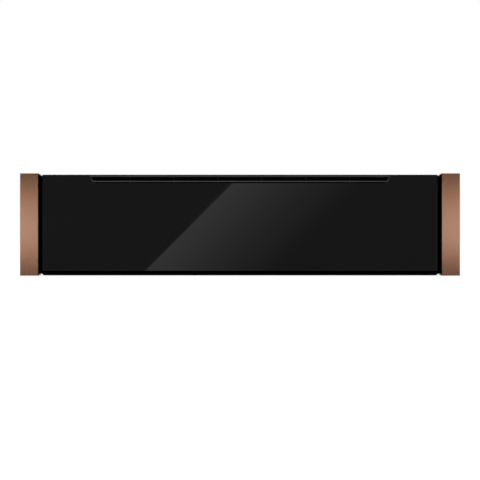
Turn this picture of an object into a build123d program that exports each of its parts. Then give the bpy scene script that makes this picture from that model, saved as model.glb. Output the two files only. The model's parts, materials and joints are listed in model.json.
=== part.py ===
from build123d import *
import os

# Built-in steam drawer, 14 cm class. A black glass front between two bronze trims slides out on
# full-extension runners. It carries a steam pan into a sealed cavity on the left and a water tank
# into a bay on the right.
# Millimetres. X runs to the right seen from the front, Y to the back and Z up.
# The origin is the middle of the appliance's footprint, at floor level.

# Driving dimensions of the whole appliance
FRONT_WIDTH = 596.0
FRONT_HEIGHT = 138.5
DEPTH = 548.0
FLOOR_GAP = 0.4
REAR_SPACE = 11.0

# Driving dimensions of the front
TRIM_FACE = 24.8
TRIM_RETURN = 3.2
TRIM_RETURN_DEPTH = 3.0
TRIM_DEPTH = 21.0
TRIM_CORNER = 3.2
GLASS_WIDTH = 536.4
GLASS_HEIGHT = 130.5
GLASS_TOP_DROP = 1.7
GLASS_SETBACK = 1.2
GLASS_THICK = 4.0
VENT_HALF_TOP = 205.0
VENT_HALF_BOTTOM = 199.4
VENT_DEPTH = 11.2
VENT_SLOT_BOTTOM = 129.1
VENT_SLOT_TOP = 134.0
VENT_RIB_PITCH = 59.6
VENT_RIBS = 6

# Driving dimensions of the housing, the cavity, the runners, the pan and the tank
HOUSING_WIDTH = 556.0
HOUSING_TOP = 136.0
HOUSING_GAP = 2.3
FOOT_HEIGHT = 2.0
SHEET = 1.0
FRAME_THICK = 1.5
STAINLESS = 0.8
CAVITY_LEFT = -255.0
CAVITY_RIGHT = 165.0
CAVITY_FLOOR = 14.0
CAVITY_CEILING = 118.0
CAVITY_REAR = 190.0
CAVITY_CORNER = 4.0
RUNNER_Z = 43.0
RUNNER_LENGTH = 450.0
RUNNER_SETBACK = 4.7
PAN_RIM_WIDTH = 400.0
PAN_RIM_LENGTH = 380.0
PAN_RIM_BORDER = 12.0
PAN_DEPTH = 64.0
PAN_Y = -50.0
PAN_RIM_Z = 86.0
BAY_LEFT = 174.0
BAY_RIGHT = 259.5
TANK_X = 217.0
TANK_WIDTH = 76.0
TANK_LENGTH = 320.0
TANK_HEIGHT = 50.0
TANK_FRONT_Y = -240.0
WATER_LINE_Z = 18.0
FAN_X = -70.0
FAN_Z = 66.0

# Places worked out from them
front_y = -DEPTH / 2
front_top = FLOOR_GAP + FRONT_HEIGHT
trim_outer_x = FRONT_WIDTH / 2
trim_face_x = trim_outer_x - TRIM_FACE
trim_inner_x = trim_face_x - TRIM_RETURN
trim_back_y = front_y + TRIM_DEPTH
glass_y = front_y + GLASS_SETBACK
glass_back_y = glass_y + GLASS_THICK
glass_top = front_top - GLASS_TOP_DROP
glass_bottom = glass_top - GLASS_HEIGHT
vent_bottom = glass_top - VENT_DEPTH
frame_y = trim_back_y + HOUSING_GAP
frame_back_y = frame_y + FRAME_THICK
housing_back_y = DEPTH / 2 - REAR_SPACE
rear_panel_y = housing_back_y - SHEET
wall_x = HOUSING_WIDTH / 2
inner_wall_x = wall_x - SHEET
base_top = FOOT_HEIGHT + SHEET
cover_bottom = HOUSING_TOP - SHEET
cavity_x = (CAVITY_LEFT + CAVITY_RIGHT) / 2
runner_front_y = frame_y + RUNNER_SETBACK
runner_back_y = runner_front_y + RUNNER_LENGTH
pan_back_y = PAN_Y + PAN_RIM_LENGTH / 2
tank_back_y = TANK_FRONT_Y + TANK_LENGTH

os.makedirs("parts", exist_ok=True)


def front_plane(y):
    """Plane at depth y that faces the front: its x runs to the right and its y runs up."""
    return Plane(origin=(0, y, 0), x_dir=(1, 0, 0), z_dir=(0, -1, 0))


def side_plane(x):
    """Plane at x that faces the right: its x runs to the back and its y runs up."""
    return Plane(origin=(x, 0, 0), x_dir=(0, 1, 0), z_dir=(1, 0, 0))


def panel(low_x, high_x, low_y, high_y, radius=0.0, mode=Mode.ADD):
    """Draws a rectangle between two corners of a sketch, rounded where a radius is given."""
    with Locations(((low_x + high_x) / 2, (low_y + high_y) / 2)):
        if radius:
            RectangleRounded(abs(high_x - low_x), abs(high_y - low_y), radius, mode=mode)
        else:
            Rectangle(abs(high_x - low_x), abs(high_y - low_y), mode=mode)


def vent_corners(inset, bottom, top):
    """Corners of a shape that follows the slanted ends of the vent recess at an inset."""
    slant = (VENT_HALF_TOP - VENT_HALF_BOTTOM) / VENT_DEPTH
    half_bottom = VENT_HALF_BOTTOM + slant * (bottom - vent_bottom) - inset
    half_top = VENT_HALF_BOTTOM + slant * (top - vent_bottom) - inset
    return [(-half_bottom, bottom), (half_bottom, bottom), (half_top, top), (-half_top, top)]


def runner_section(half):
    """Draws a runner's section from its upper half, given as distances from the side wall and
    heights above the runner's middle."""
    outline = half + [(inward, -height) for inward, height in reversed(half)]
    Polygon(*[(inner_wall_x - inward, RUNNER_Z + height) for inward, height in outline], align=None)


def save(builder, label):
    """Labels a finished piece and writes it to its own file."""
    builder.part.label = label
    export_step(builder.part, f"parts/{label}.step")


# Bronze trims: folded caps, open at the back, with a return that slopes back beside the glass
TRIM_WALL = 1.5
TRIM_EDGE_RADIUS = 0.8

with BuildPart() as trim_right:
    with BuildSketch(Plane.XY.offset(FLOOR_GAP)):
        with BuildLine():
            Polyline(
                (trim_inner_x, trim_back_y),
                (trim_inner_x, front_y + TRIM_RETURN_DEPTH),
                (trim_face_x, front_y),
                (trim_outer_x, front_y),
                (trim_outer_x, trim_back_y),
                close=True,
            )
        make_face()
    extrude(amount=FRONT_HEIGHT)
    with BuildSketch(front_plane(front_y)) as outline:
        panel(trim_inner_x, trim_outer_x, FLOOR_GAP, front_top)
        chamfer(outline.vertices().group_by(Axis.X)[0], TRIM_CORNER)
    extrude(amount=-TRIM_DEPTH, mode=Mode.INTERSECT)
    fillet(trim_right.edges().filter_by(Axis.Z).group_by(Axis.Y)[0].sort_by(Axis.X)[-1], TRIM_EDGE_RADIUS)
    offset(amount=-TRIM_WALL, openings=trim_right.faces().sort_by(Axis.Y)[-1])
save(trim_right, "trim_right")

with BuildPart() as trim_left:
    mirror(trim_right.part, about=Plane.YZ)
save(trim_left, "trim_left")


# Trim cores: ribbed plastic blocks that fill the back of the trims and take their screws
CORE_DEPTH = 13.0
CORE_WALL = 1.6
CORE_POCKETS = 5

with BuildPart() as trim_cores:
    with BuildSketch(front_plane(trim_back_y)) as outline:
        panel(
            trim_inner_x + TRIM_WALL,
            trim_outer_x - TRIM_WALL,
            FLOOR_GAP + TRIM_WALL,
            front_top - TRIM_WALL,
        )
        chamfer(outline.vertices().group_by(Axis.X)[0], TRIM_CORNER)
    extrude(amount=CORE_DEPTH)
    core_width = trim_outer_x - trim_inner_x - 2 * TRIM_WALL
    pocket_pitch = (FRONT_HEIGHT - 2 * TRIM_WALL - 2 * CORE_WALL) / CORE_POCKETS
    with BuildSketch(front_plane(trim_back_y - CORE_DEPTH)) as pockets:
        with Locations(((trim_inner_x + trim_outer_x) / 2, (FLOOR_GAP + front_top) / 2)):
            with GridLocations(0, pocket_pitch, 1, CORE_POCKETS):
                Rectangle(core_width - 4 * CORE_WALL, pocket_pitch - 2 * CORE_WALL)
    extrude(amount=-(CORE_DEPTH - CORE_WALL), mode=Mode.SUBTRACT)
    mirror(about=Plane.YZ)
save(trim_cores, "trim_cores")


# Glass front: one pane with bevelled edges, cut away at the top for the vent
GLASS_CORNER = 2.0
GLASS_BEVEL = 0.5
VENT_CORNER = 5.0

with BuildPart() as glass_front:
    with BuildSketch(front_plane(glass_y)) as outline:
        panel(-GLASS_WIDTH / 2, GLASS_WIDTH / 2, glass_bottom, glass_top, GLASS_CORNER)
        Polygon(*vent_corners(0, vent_bottom, glass_top), align=None, mode=Mode.SUBTRACT)
        fillet(outline.vertices().filter_by_position(Axis.Y, vent_bottom - 1, vent_bottom + 1), VENT_CORNER)
    extrude(amount=-GLASS_THICK)
    chamfer(glass_front.faces().sort_by(Axis.Y)[0].outer_wire().edges(), GLASS_BEVEL)
save(glass_front, "glass_front")


# Front carrier: moulded tray behind the glass, with wings that hold the trims from behind
CARRIER_HALF = 269.8
CARRIER_BOTTOM = 2.4
CARRIER_TOP = 136.2
CARRIER_WALL = 1.5
CARRIER_CORNER = 0.8
WING_REACH = 292.0
WING_MARGIN = 12.0
POST_PITCH_X = 125.0
POST_COLUMNS = 5
POST_Z = (10.0, 121.0)
POST_SIZE = 7.0
VENT_NECK_HALF = 194.5
VENT_NECK_TOP = 133.6
VENT_NECK_WALL = 0.8
FITTING_GAP = 0.1
door_y = trim_back_y - CARRIER_WALL - STAINLESS
door_back_y = door_y + STAINLESS
wing_back_y = trim_back_y + CARRIER_WALL

with BuildPart() as front_carrier:
    with BuildSketch(front_plane(glass_back_y)) as outline:
        panel(-CARRIER_HALF, CARRIER_HALF, CARRIER_BOTTOM, CARRIER_TOP)
        chamfer(outline.vertices(), CARRIER_CORNER)
    extrude(amount=glass_back_y - trim_back_y)
    offset(amount=-CARRIER_WALL, openings=front_carrier.faces().sort_by(Axis.Y)[-1])
    with BuildSketch(front_plane(glass_back_y)):
        panel(
            -VENT_NECK_HALF - VENT_NECK_WALL - FITTING_GAP,
            VENT_NECK_HALF + VENT_NECK_WALL + FITTING_GAP,
            VENT_SLOT_BOTTOM - VENT_NECK_WALL - FITTING_GAP,
            VENT_NECK_TOP + VENT_NECK_WALL + FITTING_GAP,
        )
    extrude(amount=-CARRIER_WALL, mode=Mode.SUBTRACT)
    with BuildSketch(front_plane(trim_back_y)):
        for sign in (-1, 1):
            panel(
                sign * (CARRIER_HALF - CARRIER_WALL),
                sign * WING_REACH,
                WING_MARGIN,
                front_top - WING_MARGIN,
            )
    extrude(amount=-CARRIER_WALL)
    with BuildSketch(front_plane(door_y)):
        with Locations((0, sum(POST_Z) / 2)):
            with GridLocations(POST_PITCH_X, POST_Z[1] - POST_Z[0], POST_COLUMNS, 2):
                Rectangle(POST_SIZE, POST_SIZE)
    extrude(amount=door_y - glass_back_y - CARRIER_WALL)
save(front_carrier, "front_carrier")


# Vent grille: a bevelled mouth in the glass's recess, a neck through the carrier and six ribs
GRILLE_SETBACK = 0.2
GRILLE_JOINT = 0.2
GRILLE_BEVEL = 1.2
GRILLE_LAND = 0.4
MOUTH_CORNER = 3.4
RIB_THICK = 1.4
RIB_SETBACK = 2.6
RIB_DEPTH = 12.0
NECK_END_GAP = 1.0
grille_y = glass_y + GRILLE_SETBACK
mouth_inset = GRILLE_JOINT + GRILLE_LAND + GRILLE_BEVEL

with BuildPart() as vent_grille:
    with BuildSketch(front_plane(glass_back_y)) as outline:
        Polygon(*vent_corners(GRILLE_JOINT, vent_bottom + GRILLE_JOINT, glass_top), align=None)
        fillet(outline.vertices().group_by(Axis.Y)[0], VENT_CORNER - GRILLE_JOINT)
    extrude(amount=glass_back_y - grille_y)
    with BuildSketch(front_plane(grille_y)) as mouth:
        Polygon(*vent_corners(mouth_inset, VENT_SLOT_BOTTOM, VENT_SLOT_TOP), align=None)
        fillet(mouth.vertices().group_by(Axis.Y)[0], MOUTH_CORNER)
    extrude(amount=grille_y - glass_back_y, mode=Mode.SUBTRACT)
    mouth_rim = vent_grille.faces().sort_by(Axis.Y)[0].inner_wires()[0].edges()
    chamfer(mouth_rim.sort_by(Axis.Z)[:-1], GRILLE_BEVEL)
    with BuildSketch(front_plane(glass_back_y)):
        panel(
            -VENT_NECK_HALF - VENT_NECK_WALL,
            VENT_NECK_HALF + VENT_NECK_WALL,
            VENT_SLOT_BOTTOM - VENT_NECK_WALL,
            VENT_NECK_TOP + VENT_NECK_WALL,
        )
        panel(-VENT_NECK_HALF, VENT_NECK_HALF, VENT_SLOT_BOTTOM, VENT_NECK_TOP, mode=Mode.SUBTRACT)
    extrude(amount=glass_back_y - trim_back_y + NECK_END_GAP)
    with BuildSketch(front_plane(grille_y + RIB_SETBACK)):
        with Locations((0, (VENT_SLOT_BOTTOM + VENT_SLOT_TOP) / 2)):
            with GridLocations(VENT_RIB_PITCH, 0, VENT_RIBS, 1):
                Rectangle(RIB_THICK, VENT_SLOT_TOP - VENT_SLOT_BOTTOM)
    extrude(amount=-RIB_DEPTH)
save(vent_grille, "vent_grille")


# Bottom profile: a matt black angle below the glass, its face sloping back under the edge
BAND_HALF = 267.3
BAND_BOTTOM = 0.75
BAND_JOINT = 0.2
BAND_SLOPE = 1.4
BAND_REACH = 12.8
BAND_END_CHAMFER = 1.0

with BuildPart() as bottom_profile:
    with BuildSketch(side_plane(-BAND_HALF)):
        with BuildLine():
            Polyline(
                (grille_y, glass_bottom - BAND_JOINT),
                (grille_y + BAND_SLOPE, BAND_BOTTOM),
                (glass_back_y + BAND_REACH, BAND_BOTTOM),
                (glass_back_y + BAND_REACH, CARRIER_BOTTOM),
                (glass_back_y, CARRIER_BOTTOM),
                (glass_back_y, glass_bottom - BAND_JOINT),
                close=True,
            )
        make_face()
    extrude(amount=2 * BAND_HALF)
    end_faces = bottom_profile.faces().filter_by(Axis.X)
    chamfer(end_faces.edges().filter_by(Axis.Y).group_by(Axis.Z)[0], BAND_END_CHAMFER)
save(bottom_profile, "bottom_profile")


# Inner door: stainless sheet that closes the carrier, with a pressed plug that enters the cavity
DOOR_HALF = 262.0
DOOR_BOTTOM = 5.0
DOOR_TOP = 126.0
DOOR_CORNER = 6.0
PLUG_MARGIN = 8.0
PLUG_DEPTH = 7.5
PLUG_CORNER = 12.0
plug_back_y = door_back_y + PLUG_DEPTH

with BuildPart() as inner_door:
    with BuildSketch(front_plane(door_y)) as sheet:
        panel(-DOOR_HALF, DOOR_HALF, DOOR_BOTTOM, DOOR_TOP)
        chamfer(sheet.vertices(), DOOR_CORNER)
    extrude(amount=-STAINLESS)
    with BuildSketch(front_plane(door_back_y)):
        panel(
            CAVITY_LEFT + PLUG_MARGIN,
            CAVITY_RIGHT - PLUG_MARGIN,
            CAVITY_FLOOR + PLUG_MARGIN,
            CAVITY_CEILING - PLUG_MARGIN,
            PLUG_CORNER,
        )
    extrude(amount=-PLUG_DEPTH)
    with BuildSketch(front_plane(door_y)):
        panel(
            CAVITY_LEFT + PLUG_MARGIN + STAINLESS,
            CAVITY_RIGHT - PLUG_MARGIN - STAINLESS,
            CAVITY_FLOOR + PLUG_MARGIN + STAINLESS,
            CAVITY_CEILING - PLUG_MARGIN - STAINLESS,
            PLUG_CORNER - STAINLESS,
        )
    extrude(amount=-PLUG_DEPTH, mode=Mode.SUBTRACT)
save(inner_door, "inner_door")


# Door gasket: silicone ring round the cavity mouth, a hair short of the frame when closed
GASKET_WIDTH = 6.0
GASKET_INSET = 0.6
GASKET_THICK = 3.5
GASKET_CORNER = 7.0

with BuildPart() as door_gasket:
    with BuildSketch(front_plane(door_back_y)) as ring:
        gasket_reach = GASKET_INSET + GASKET_WIDTH
        panel(
            CAVITY_LEFT - gasket_reach,
            CAVITY_RIGHT + gasket_reach,
            CAVITY_FLOOR - gasket_reach,
            CAVITY_CEILING + gasket_reach,
        )
        chamfer(ring.vertices(), GASKET_CORNER)
        offset(amount=-GASKET_WIDTH, mode=Mode.SUBTRACT)
    extrude(amount=-GASKET_THICK)
save(door_gasket, "door_gasket")


# Runners: nested outer, middle and inner sections on each side wall of the housing
OUTER_HALF = [(0, 22.5), (10.5, 22.5), (10.5, 19.3), (9.2, 19.3), (9.2, 21.1), (1.4, 21.1)]
MIDDLE_HALF = [
    (2.8, 18.4),
    (4.0, 18.4),
    (4.0, 17.0),
    (10.2, 17.0),
    (10.2, 14.2),
    (9.0, 14.2),
    (9.0, 15.8),
    (4.0, 15.8),
]
INNER_HALF = [(13.0, 12.8), (6.6, 12.8), (6.6, 14.0), (5.4, 14.0), (5.4, 11.4), (11.6, 11.4)]
INNER_WEB = 11.6
INNER_LIP = 5.4
INNER_FLANGE = 11.4
STRIKER_THICK = 1.2

with BuildPart() as outer_rails:
    with BuildSketch(front_plane(runner_front_y)):
        runner_section(OUTER_HALF)
    extrude(amount=-RUNNER_LENGTH)
    mirror(about=Plane.YZ)
save(outer_rails, "outer_rails")

with BuildPart() as middle_rails:
    with BuildSketch(front_plane(runner_front_y)):
        runner_section(MIDDLE_HALF)
    extrude(amount=-RUNNER_LENGTH)
    mirror(about=Plane.YZ)
save(middle_rails, "middle_rails")

with BuildPart() as inner_rails:
    with BuildSketch(front_plane(runner_front_y)):
        runner_section(INNER_HALF)
    extrude(amount=-RUNNER_LENGTH)
    with BuildSketch(front_plane(runner_back_y)):
        panel(
            inner_wall_x - INNER_WEB,
            inner_wall_x - INNER_LIP,
            RUNNER_Z - INNER_FLANGE,
            RUNNER_Z + INNER_FLANGE,
        )
    extrude(amount=STRIKER_THICK)
    mirror(about=Plane.YZ)
save(inner_rails, "inner_rails")


# Ball cages: thin channels that space the balls between two sections, with a row of pockets
CAGE_BACK_Y = 60.0
CAGE_LENGTH = 150.0
CAGE_POCKETS = 4
CAGE_POCKET_PITCH = 36.0
CAGE_SETS = (
    ("outer_cages", [(1.7, 19.2), (8.8, 19.2), (8.8, 18.7), (2.2, 18.7)], 5.6, 3.8, 20.0),
    ("inner_cages", [(4.4, 14.6), (8.7, 14.6), (8.7, 14.2), (4.9, 14.2)], 7.3, 2.4, 15.0),
)
for cage_name, cage_half, pocket_inward, pocket_size, cage_height in CAGE_SETS:
    with BuildPart() as cages:
        with BuildSketch(front_plane(CAGE_BACK_Y)):
            runner_section(cage_half)
        extrude(amount=CAGE_LENGTH)
        with BuildSketch(Plane.XY.offset(RUNNER_Z)):
            with Locations((inner_wall_x - pocket_inward, CAGE_BACK_Y - CAGE_LENGTH / 2)):
                with GridLocations(0, CAGE_POCKET_PITCH, 1, CAGE_POCKETS):
                    Rectangle(pocket_size, pocket_size)
        extrude(amount=cage_height, both=True, mode=Mode.SUBTRACT)
        mirror(about=Plane.YZ)
    save(cages, cage_name)


# Rail brackets: angles that tie the front's wings to the inner sections
BRACKET_FLANGE_LOW = 264.5
BRACKET_FLANGE_HIGH = 276.5
BRACKET_FLANGE_THICK = 2.0
BRACKET_FLANGE_HALF = 18.0
BRACKET_ARM_THICK = 1.6
BRACKET_ARM_HALF = 9.0
BRACKET_ARM_LENGTH = 50.0
BRACKET_FOLD = 3.0

with BuildPart() as rail_brackets:
    with BuildSketch(front_plane(wing_back_y)) as flange:
        panel(
            BRACKET_FLANGE_LOW,
            BRACKET_FLANGE_HIGH,
            RUNNER_Z - BRACKET_FLANGE_HALF,
            RUNNER_Z + BRACKET_FLANGE_HALF,
        )
        chamfer(flange.vertices(), BRACKET_FOLD)
    extrude(amount=-BRACKET_FLANGE_THICK)
    arm_x = inner_wall_x - INNER_WEB
    with BuildSketch(side_plane(arm_x)) as arm:
        panel(
            wing_back_y,
            wing_back_y + BRACKET_ARM_LENGTH,
            RUNNER_Z - BRACKET_ARM_HALF,
            RUNNER_Z + BRACKET_ARM_HALF,
        )
        chamfer(arm.vertices().group_by(Axis.X)[-1], BRACKET_FOLD)
    extrude(amount=BRACKET_ARM_THICK)
    mirror(about=Plane.YZ)
save(rail_brackets, "rail_brackets")


# Pan cradle: a stainless frame hung from the plug, with legs behind the pan that hold an axle
BAR_REACH = 194.0
BAR_THICK = 3.0
BAR_HEIGHT = 12.0
CRADLE_PLATE = 1.5
CRADLE_TAB_WIDTH = 44.0
CRADLE_TAB_BOTTOM = 42.0
CROSSBAR_GAP = 6.0
AXLE_Y = 152.0
AXLE_RADIUS = 3.0
ROLLER_RADIUS = 9.0
ROLLER_GAP = 0.3
ROLLER_WIDTH = 9.5
ROLLER_SIDE_GAP = 0.7
LEG_HALF = 11.0
LEG_END_HALF = 7.0
axle_z = CAVITY_FLOOR + ROLLER_GAP + ROLLER_RADIUS
bar_bottom = PAN_RIM_Z - BAR_HEIGHT

with BuildPart() as pan_cradle:
    with BuildSketch(front_plane(plug_back_y)):
        panel(cavity_x - BAR_REACH, cavity_x + BAR_REACH, bar_bottom, PAN_RIM_Z)
        for sign in (-1, 1):
            panel(
                cavity_x + sign * BAR_REACH,
                cavity_x + sign * (BAR_REACH - CRADLE_TAB_WIDTH),
                CRADLE_TAB_BOTTOM,
                bar_bottom,
            )
    extrude(amount=-CRADLE_PLATE)
    with BuildSketch(side_plane(cavity_x - BAR_REACH)):
        panel(plug_back_y, AXLE_Y + LEG_HALF, bar_bottom, PAN_RIM_Z)
        with BuildLine():
            Polyline(
                (AXLE_Y - LEG_END_HALF, axle_z),
                (AXLE_Y - LEG_END_HALF, bar_bottom - LEG_HALF),
                (AXLE_Y - 2 * LEG_HALF, bar_bottom),
                (AXLE_Y + LEG_HALF, bar_bottom),
                (AXLE_Y + LEG_END_HALF, bar_bottom - LEG_HALF),
                (AXLE_Y + LEG_END_HALF, axle_z),
                (AXLE_Y + LEG_END_HALF / 2, axle_z - LEG_END_HALF),
                (AXLE_Y - LEG_END_HALF / 2, axle_z - LEG_END_HALF),
                close=True,
            )
        make_face()
        with Locations((AXLE_Y, axle_z)):
            Circle(AXLE_RADIUS, mode=Mode.SUBTRACT)
    extrude(amount=BAR_THICK)
    mirror(about=Plane.YZ.offset(cavity_x))
    with BuildSketch(front_plane(pan_back_y + CROSSBAR_GAP)):
        panel(cavity_x - BAR_REACH, cavity_x + BAR_REACH, bar_bottom, PAN_RIM_Z)
    extrude(amount=-BAR_THICK)
save(pan_cradle, "pan_cradle")


# Cradle axle and its two rollers, which run on the cavity floor
AXLE_HEAD_RADIUS = 4.5
AXLE_HEAD_SIDES = 6
AXLE_HEAD = 1.0
AXLE_RUNNING_FIT = 0.06
roller_inner = BAR_REACH + ROLLER_SIDE_GAP
roller_outer = roller_inner + ROLLER_WIDTH

with BuildPart() as cradle_axle:
    with BuildSketch(side_plane(cavity_x)):
        with Locations((AXLE_Y, axle_z)):
            Circle(AXLE_RADIUS)
    extrude(amount=roller_outer + ROLLER_GAP, both=True)
    for sign in (-1, 1):
        with BuildSketch(side_plane(cavity_x + sign * (roller_outer + ROLLER_GAP))):
            with Locations((AXLE_Y, axle_z)):
                RegularPolygon(AXLE_HEAD_RADIUS, AXLE_HEAD_SIDES)
        extrude(amount=sign * AXLE_HEAD)
save(cradle_axle, "cradle_axle")

with BuildPart() as cradle_rollers:
    with BuildSketch(side_plane(cavity_x + roller_inner)):
        with Locations((AXLE_Y, axle_z)):
            Circle(ROLLER_RADIUS)
            Circle(AXLE_RADIUS + AXLE_RUNNING_FIT, mode=Mode.SUBTRACT)
    extrude(amount=ROLLER_WIDTH)
    mirror(about=Plane.YZ.offset(cavity_x))
save(cradle_rollers, "cradle_rollers")


# Steam pan: a drawn stainless tray with a flat rim that hangs on the cradle
PAN_CORNER = 30.0
PAN_BOTTOM_EDGE = 7.0
pan_half_x = PAN_RIM_WIDTH / 2
pan_half_y = PAN_RIM_LENGTH / 2
pan_edges = (cavity_x - pan_half_x, cavity_x + pan_half_x, PAN_Y - pan_half_y, PAN_Y + pan_half_y)


def pan_outline(inset, corner, mode=Mode.ADD):
    """Draws the pan's rim outline, drawn in by an inset."""
    low_x, high_x, low_y, high_y = pan_edges
    panel(low_x + inset, high_x - inset, low_y + inset, high_y - inset, corner, mode)


with BuildPart() as steam_pan:
    with BuildSketch(Plane.XY.offset(PAN_RIM_Z)):
        pan_outline(PAN_RIM_BORDER, PAN_CORNER)
    extrude(amount=-PAN_DEPTH)
    with BuildSketch(Plane.XY.offset(PAN_RIM_Z)):
        pan_outline(PAN_RIM_BORDER + STAINLESS, PAN_CORNER - STAINLESS)
    extrude(amount=STAINLESS - PAN_DEPTH, mode=Mode.SUBTRACT)
    outer_floor, inner_floor = steam_pan.faces().filter_by(Axis.Z).sort_by(Axis.Z)[:2]
    chamfer(outer_floor.edges(), PAN_BOTTOM_EDGE)
    chamfer(inner_floor.edges(), PAN_BOTTOM_EDGE - STAINLESS / 2)
    with BuildSketch(Plane.XY.offset(PAN_RIM_Z)):
        pan_outline(0, PAN_CORNER + PAN_RIM_BORDER)
        pan_outline(PAN_RIM_BORDER + STAINLESS, PAN_CORNER - STAINLESS, Mode.SUBTRACT)
    extrude(amount=STAINLESS)
save(steam_pan, "steam_pan")


# Steam insert: a shallow perforated tray that hangs in the pan
INSERT_DEPTH = 35.0
INSERT_CLEARANCE = 2.2
INSERT_RIM_INSET = 1.0
INSERT_CORNER = 19.0
INSERT_RIM_CORNER = 26.0
INSERT_HOLE_RADIUS = 6.0
INSERT_HOLE_SIDES = 6
INSERT_HOLES_X = 5
INSERT_HOLES_Y = 4
INSERT_HOLE_PITCH_X = 70.0
INSERT_HOLE_PITCH_Y = 76.0
insert_z = PAN_RIM_Z + STAINLESS

with BuildPart() as steam_insert:
    with BuildSketch(Plane.XY.offset(insert_z + STAINLESS)) as rim:
        pan_outline(INSERT_RIM_INSET, 0)
        chamfer(rim.vertices(), INSERT_RIM_CORNER)
    extrude(amount=-STAINLESS)
    with BuildSketch(Plane.XY.offset(insert_z)) as walls:
        pan_outline(PAN_RIM_BORDER + INSERT_CLEARANCE, 0)
        chamfer(walls.vertices(), INSERT_CORNER)
    extrude(amount=-INSERT_DEPTH)
    with BuildSketch(Plane.XY.offset(insert_z + STAINLESS)) as hollow:
        pan_outline(PAN_RIM_BORDER + INSERT_CLEARANCE + STAINLESS, 0)
        chamfer(hollow.vertices(), INSERT_CORNER)
    extrude(amount=-INSERT_DEPTH, mode=Mode.SUBTRACT)
    with BuildSketch(Plane.XY.offset(insert_z - INSERT_DEPTH)):
        with Locations((cavity_x, PAN_Y)):
            with GridLocations(INSERT_HOLE_PITCH_X, INSERT_HOLE_PITCH_Y, INSERT_HOLES_X, INSERT_HOLES_Y):
                RegularPolygon(INSERT_HOLE_RADIUS, INSERT_HOLE_SIDES)
    extrude(amount=2 * STAINLESS, mode=Mode.SUBTRACT)
save(steam_insert, "steam_insert")


# Tank carrier: a trough on the back of the door with a valve cup and a nipple that docks at the rear
CARRIER_GAP = 2.0
TROUGH_WALL = 2.0
TROUGH_FLOOR_Z = 12.0
TROUGH_HEIGHT = 14.0
TROUGH_FLANGE_TOP = 66.0
TROUGH_CORNER = 6.0
TROUGH_END_GAP = 4.0
VALVE_Y = 58.0
VALVE_SIDES = 6
CUP_SIZE = 22.0
CUP_DEPTH = 5.0
CUP_WALL = 1.6
NIPPLE_RADIUS = 4.0
NIPPLE_LENGTH = 16.0
NIPPLE_BORE = 2.0
trough_left = BAY_LEFT + CARRIER_GAP
trough_right = BAY_RIGHT - CARRIER_GAP
trough_back_y = tank_back_y + TROUGH_END_GAP + TROUGH_WALL
trough_bottom = TROUGH_FLOOR_Z - TROUGH_WALL

with BuildPart() as tank_carrier:
    with BuildSketch(Plane.XY.offset(trough_bottom)):
        panel(trough_left, trough_right, door_back_y, trough_back_y)
    extrude(amount=TROUGH_WALL + TROUGH_HEIGHT)
    with BuildSketch(Plane.XY.offset(TROUGH_FLOOR_Z)):
        panel(
            trough_left + TROUGH_WALL,
            trough_right - TROUGH_WALL,
            door_back_y + TROUGH_WALL,
            trough_back_y - TROUGH_WALL,
        )
    extrude(amount=TROUGH_HEIGHT, mode=Mode.SUBTRACT)
    with BuildSketch(front_plane(door_back_y)) as flange:
        panel(trough_left, trough_right, trough_bottom, TROUGH_FLANGE_TOP)
        chamfer(flange.vertices().group_by(Axis.Y)[-1], TROUGH_CORNER)
    extrude(amount=-TROUGH_WALL)
    with BuildSketch(Plane.XY.offset(TROUGH_FLOOR_Z - CUP_DEPTH)):
        with Locations((TANK_X, VALVE_Y)):
            Rectangle(CUP_SIZE, CUP_SIZE)
    extrude(amount=CUP_DEPTH)
    with BuildSketch(Plane.XY.offset(TROUGH_FLOOR_Z - CUP_DEPTH + CUP_WALL)):
        with Locations((TANK_X, VALVE_Y)):
            Rectangle(CUP_SIZE - 2 * CUP_WALL, CUP_SIZE - 2 * CUP_WALL)
    extrude(amount=CUP_DEPTH, mode=Mode.SUBTRACT)
    with BuildSketch(front_plane(trough_back_y)):
        with Locations((TANK_X, WATER_LINE_Z)):
            Circle(NIPPLE_RADIUS)
    extrude(amount=-NIPPLE_LENGTH)
    with BuildSketch(front_plane(trough_back_y - TROUGH_WALL)):
        with Locations((TANK_X, WATER_LINE_Z)):
            RegularPolygon(NIPPLE_BORE, VALVE_SIDES)
    extrude(amount=-NIPPLE_LENGTH - TROUGH_WALL, mode=Mode.SUBTRACT)
save(tank_carrier, "tank_carrier")


# Water tank: a clear moulded box with rounded corners, a valve in its floor and a lid on top
TANK_CORNER = 8.0
TANK_WALL = 2.0
VALVE_KEY_RADIUS = 6.0
tank_left = TANK_X - TANK_WIDTH / 2
tank_right = TANK_X + TANK_WIDTH / 2
tank_top = TROUGH_FLOOR_Z + TANK_HEIGHT

with BuildPart() as water_tank:
    with BuildSketch(Plane.XY.offset(TROUGH_FLOOR_Z)):
        panel(tank_left, tank_right, TANK_FRONT_Y, tank_back_y, TANK_CORNER)
    extrude(amount=TANK_HEIGHT)
    offset(amount=-TANK_WALL, openings=water_tank.faces().sort_by(Axis.Z)[-1])
    with BuildSketch(Plane.XY.offset(TROUGH_FLOOR_Z)):
        with Locations((TANK_X, VALVE_Y)):
            RegularPolygon(VALVE_KEY_RADIUS, VALVE_SIDES)
    extrude(amount=TANK_WALL, mode=Mode.SUBTRACT)
save(water_tank, "water_tank")

# Tank valve: a six-sided spigot keyed into the tank's floor, held by a collar above it
VALVE_COLLAR_RADIUS = 10.0
VALVE_COLLAR = 3.0
VALVE_SPIGOT = 2.4
VALVE_BORE = 2.5

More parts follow.
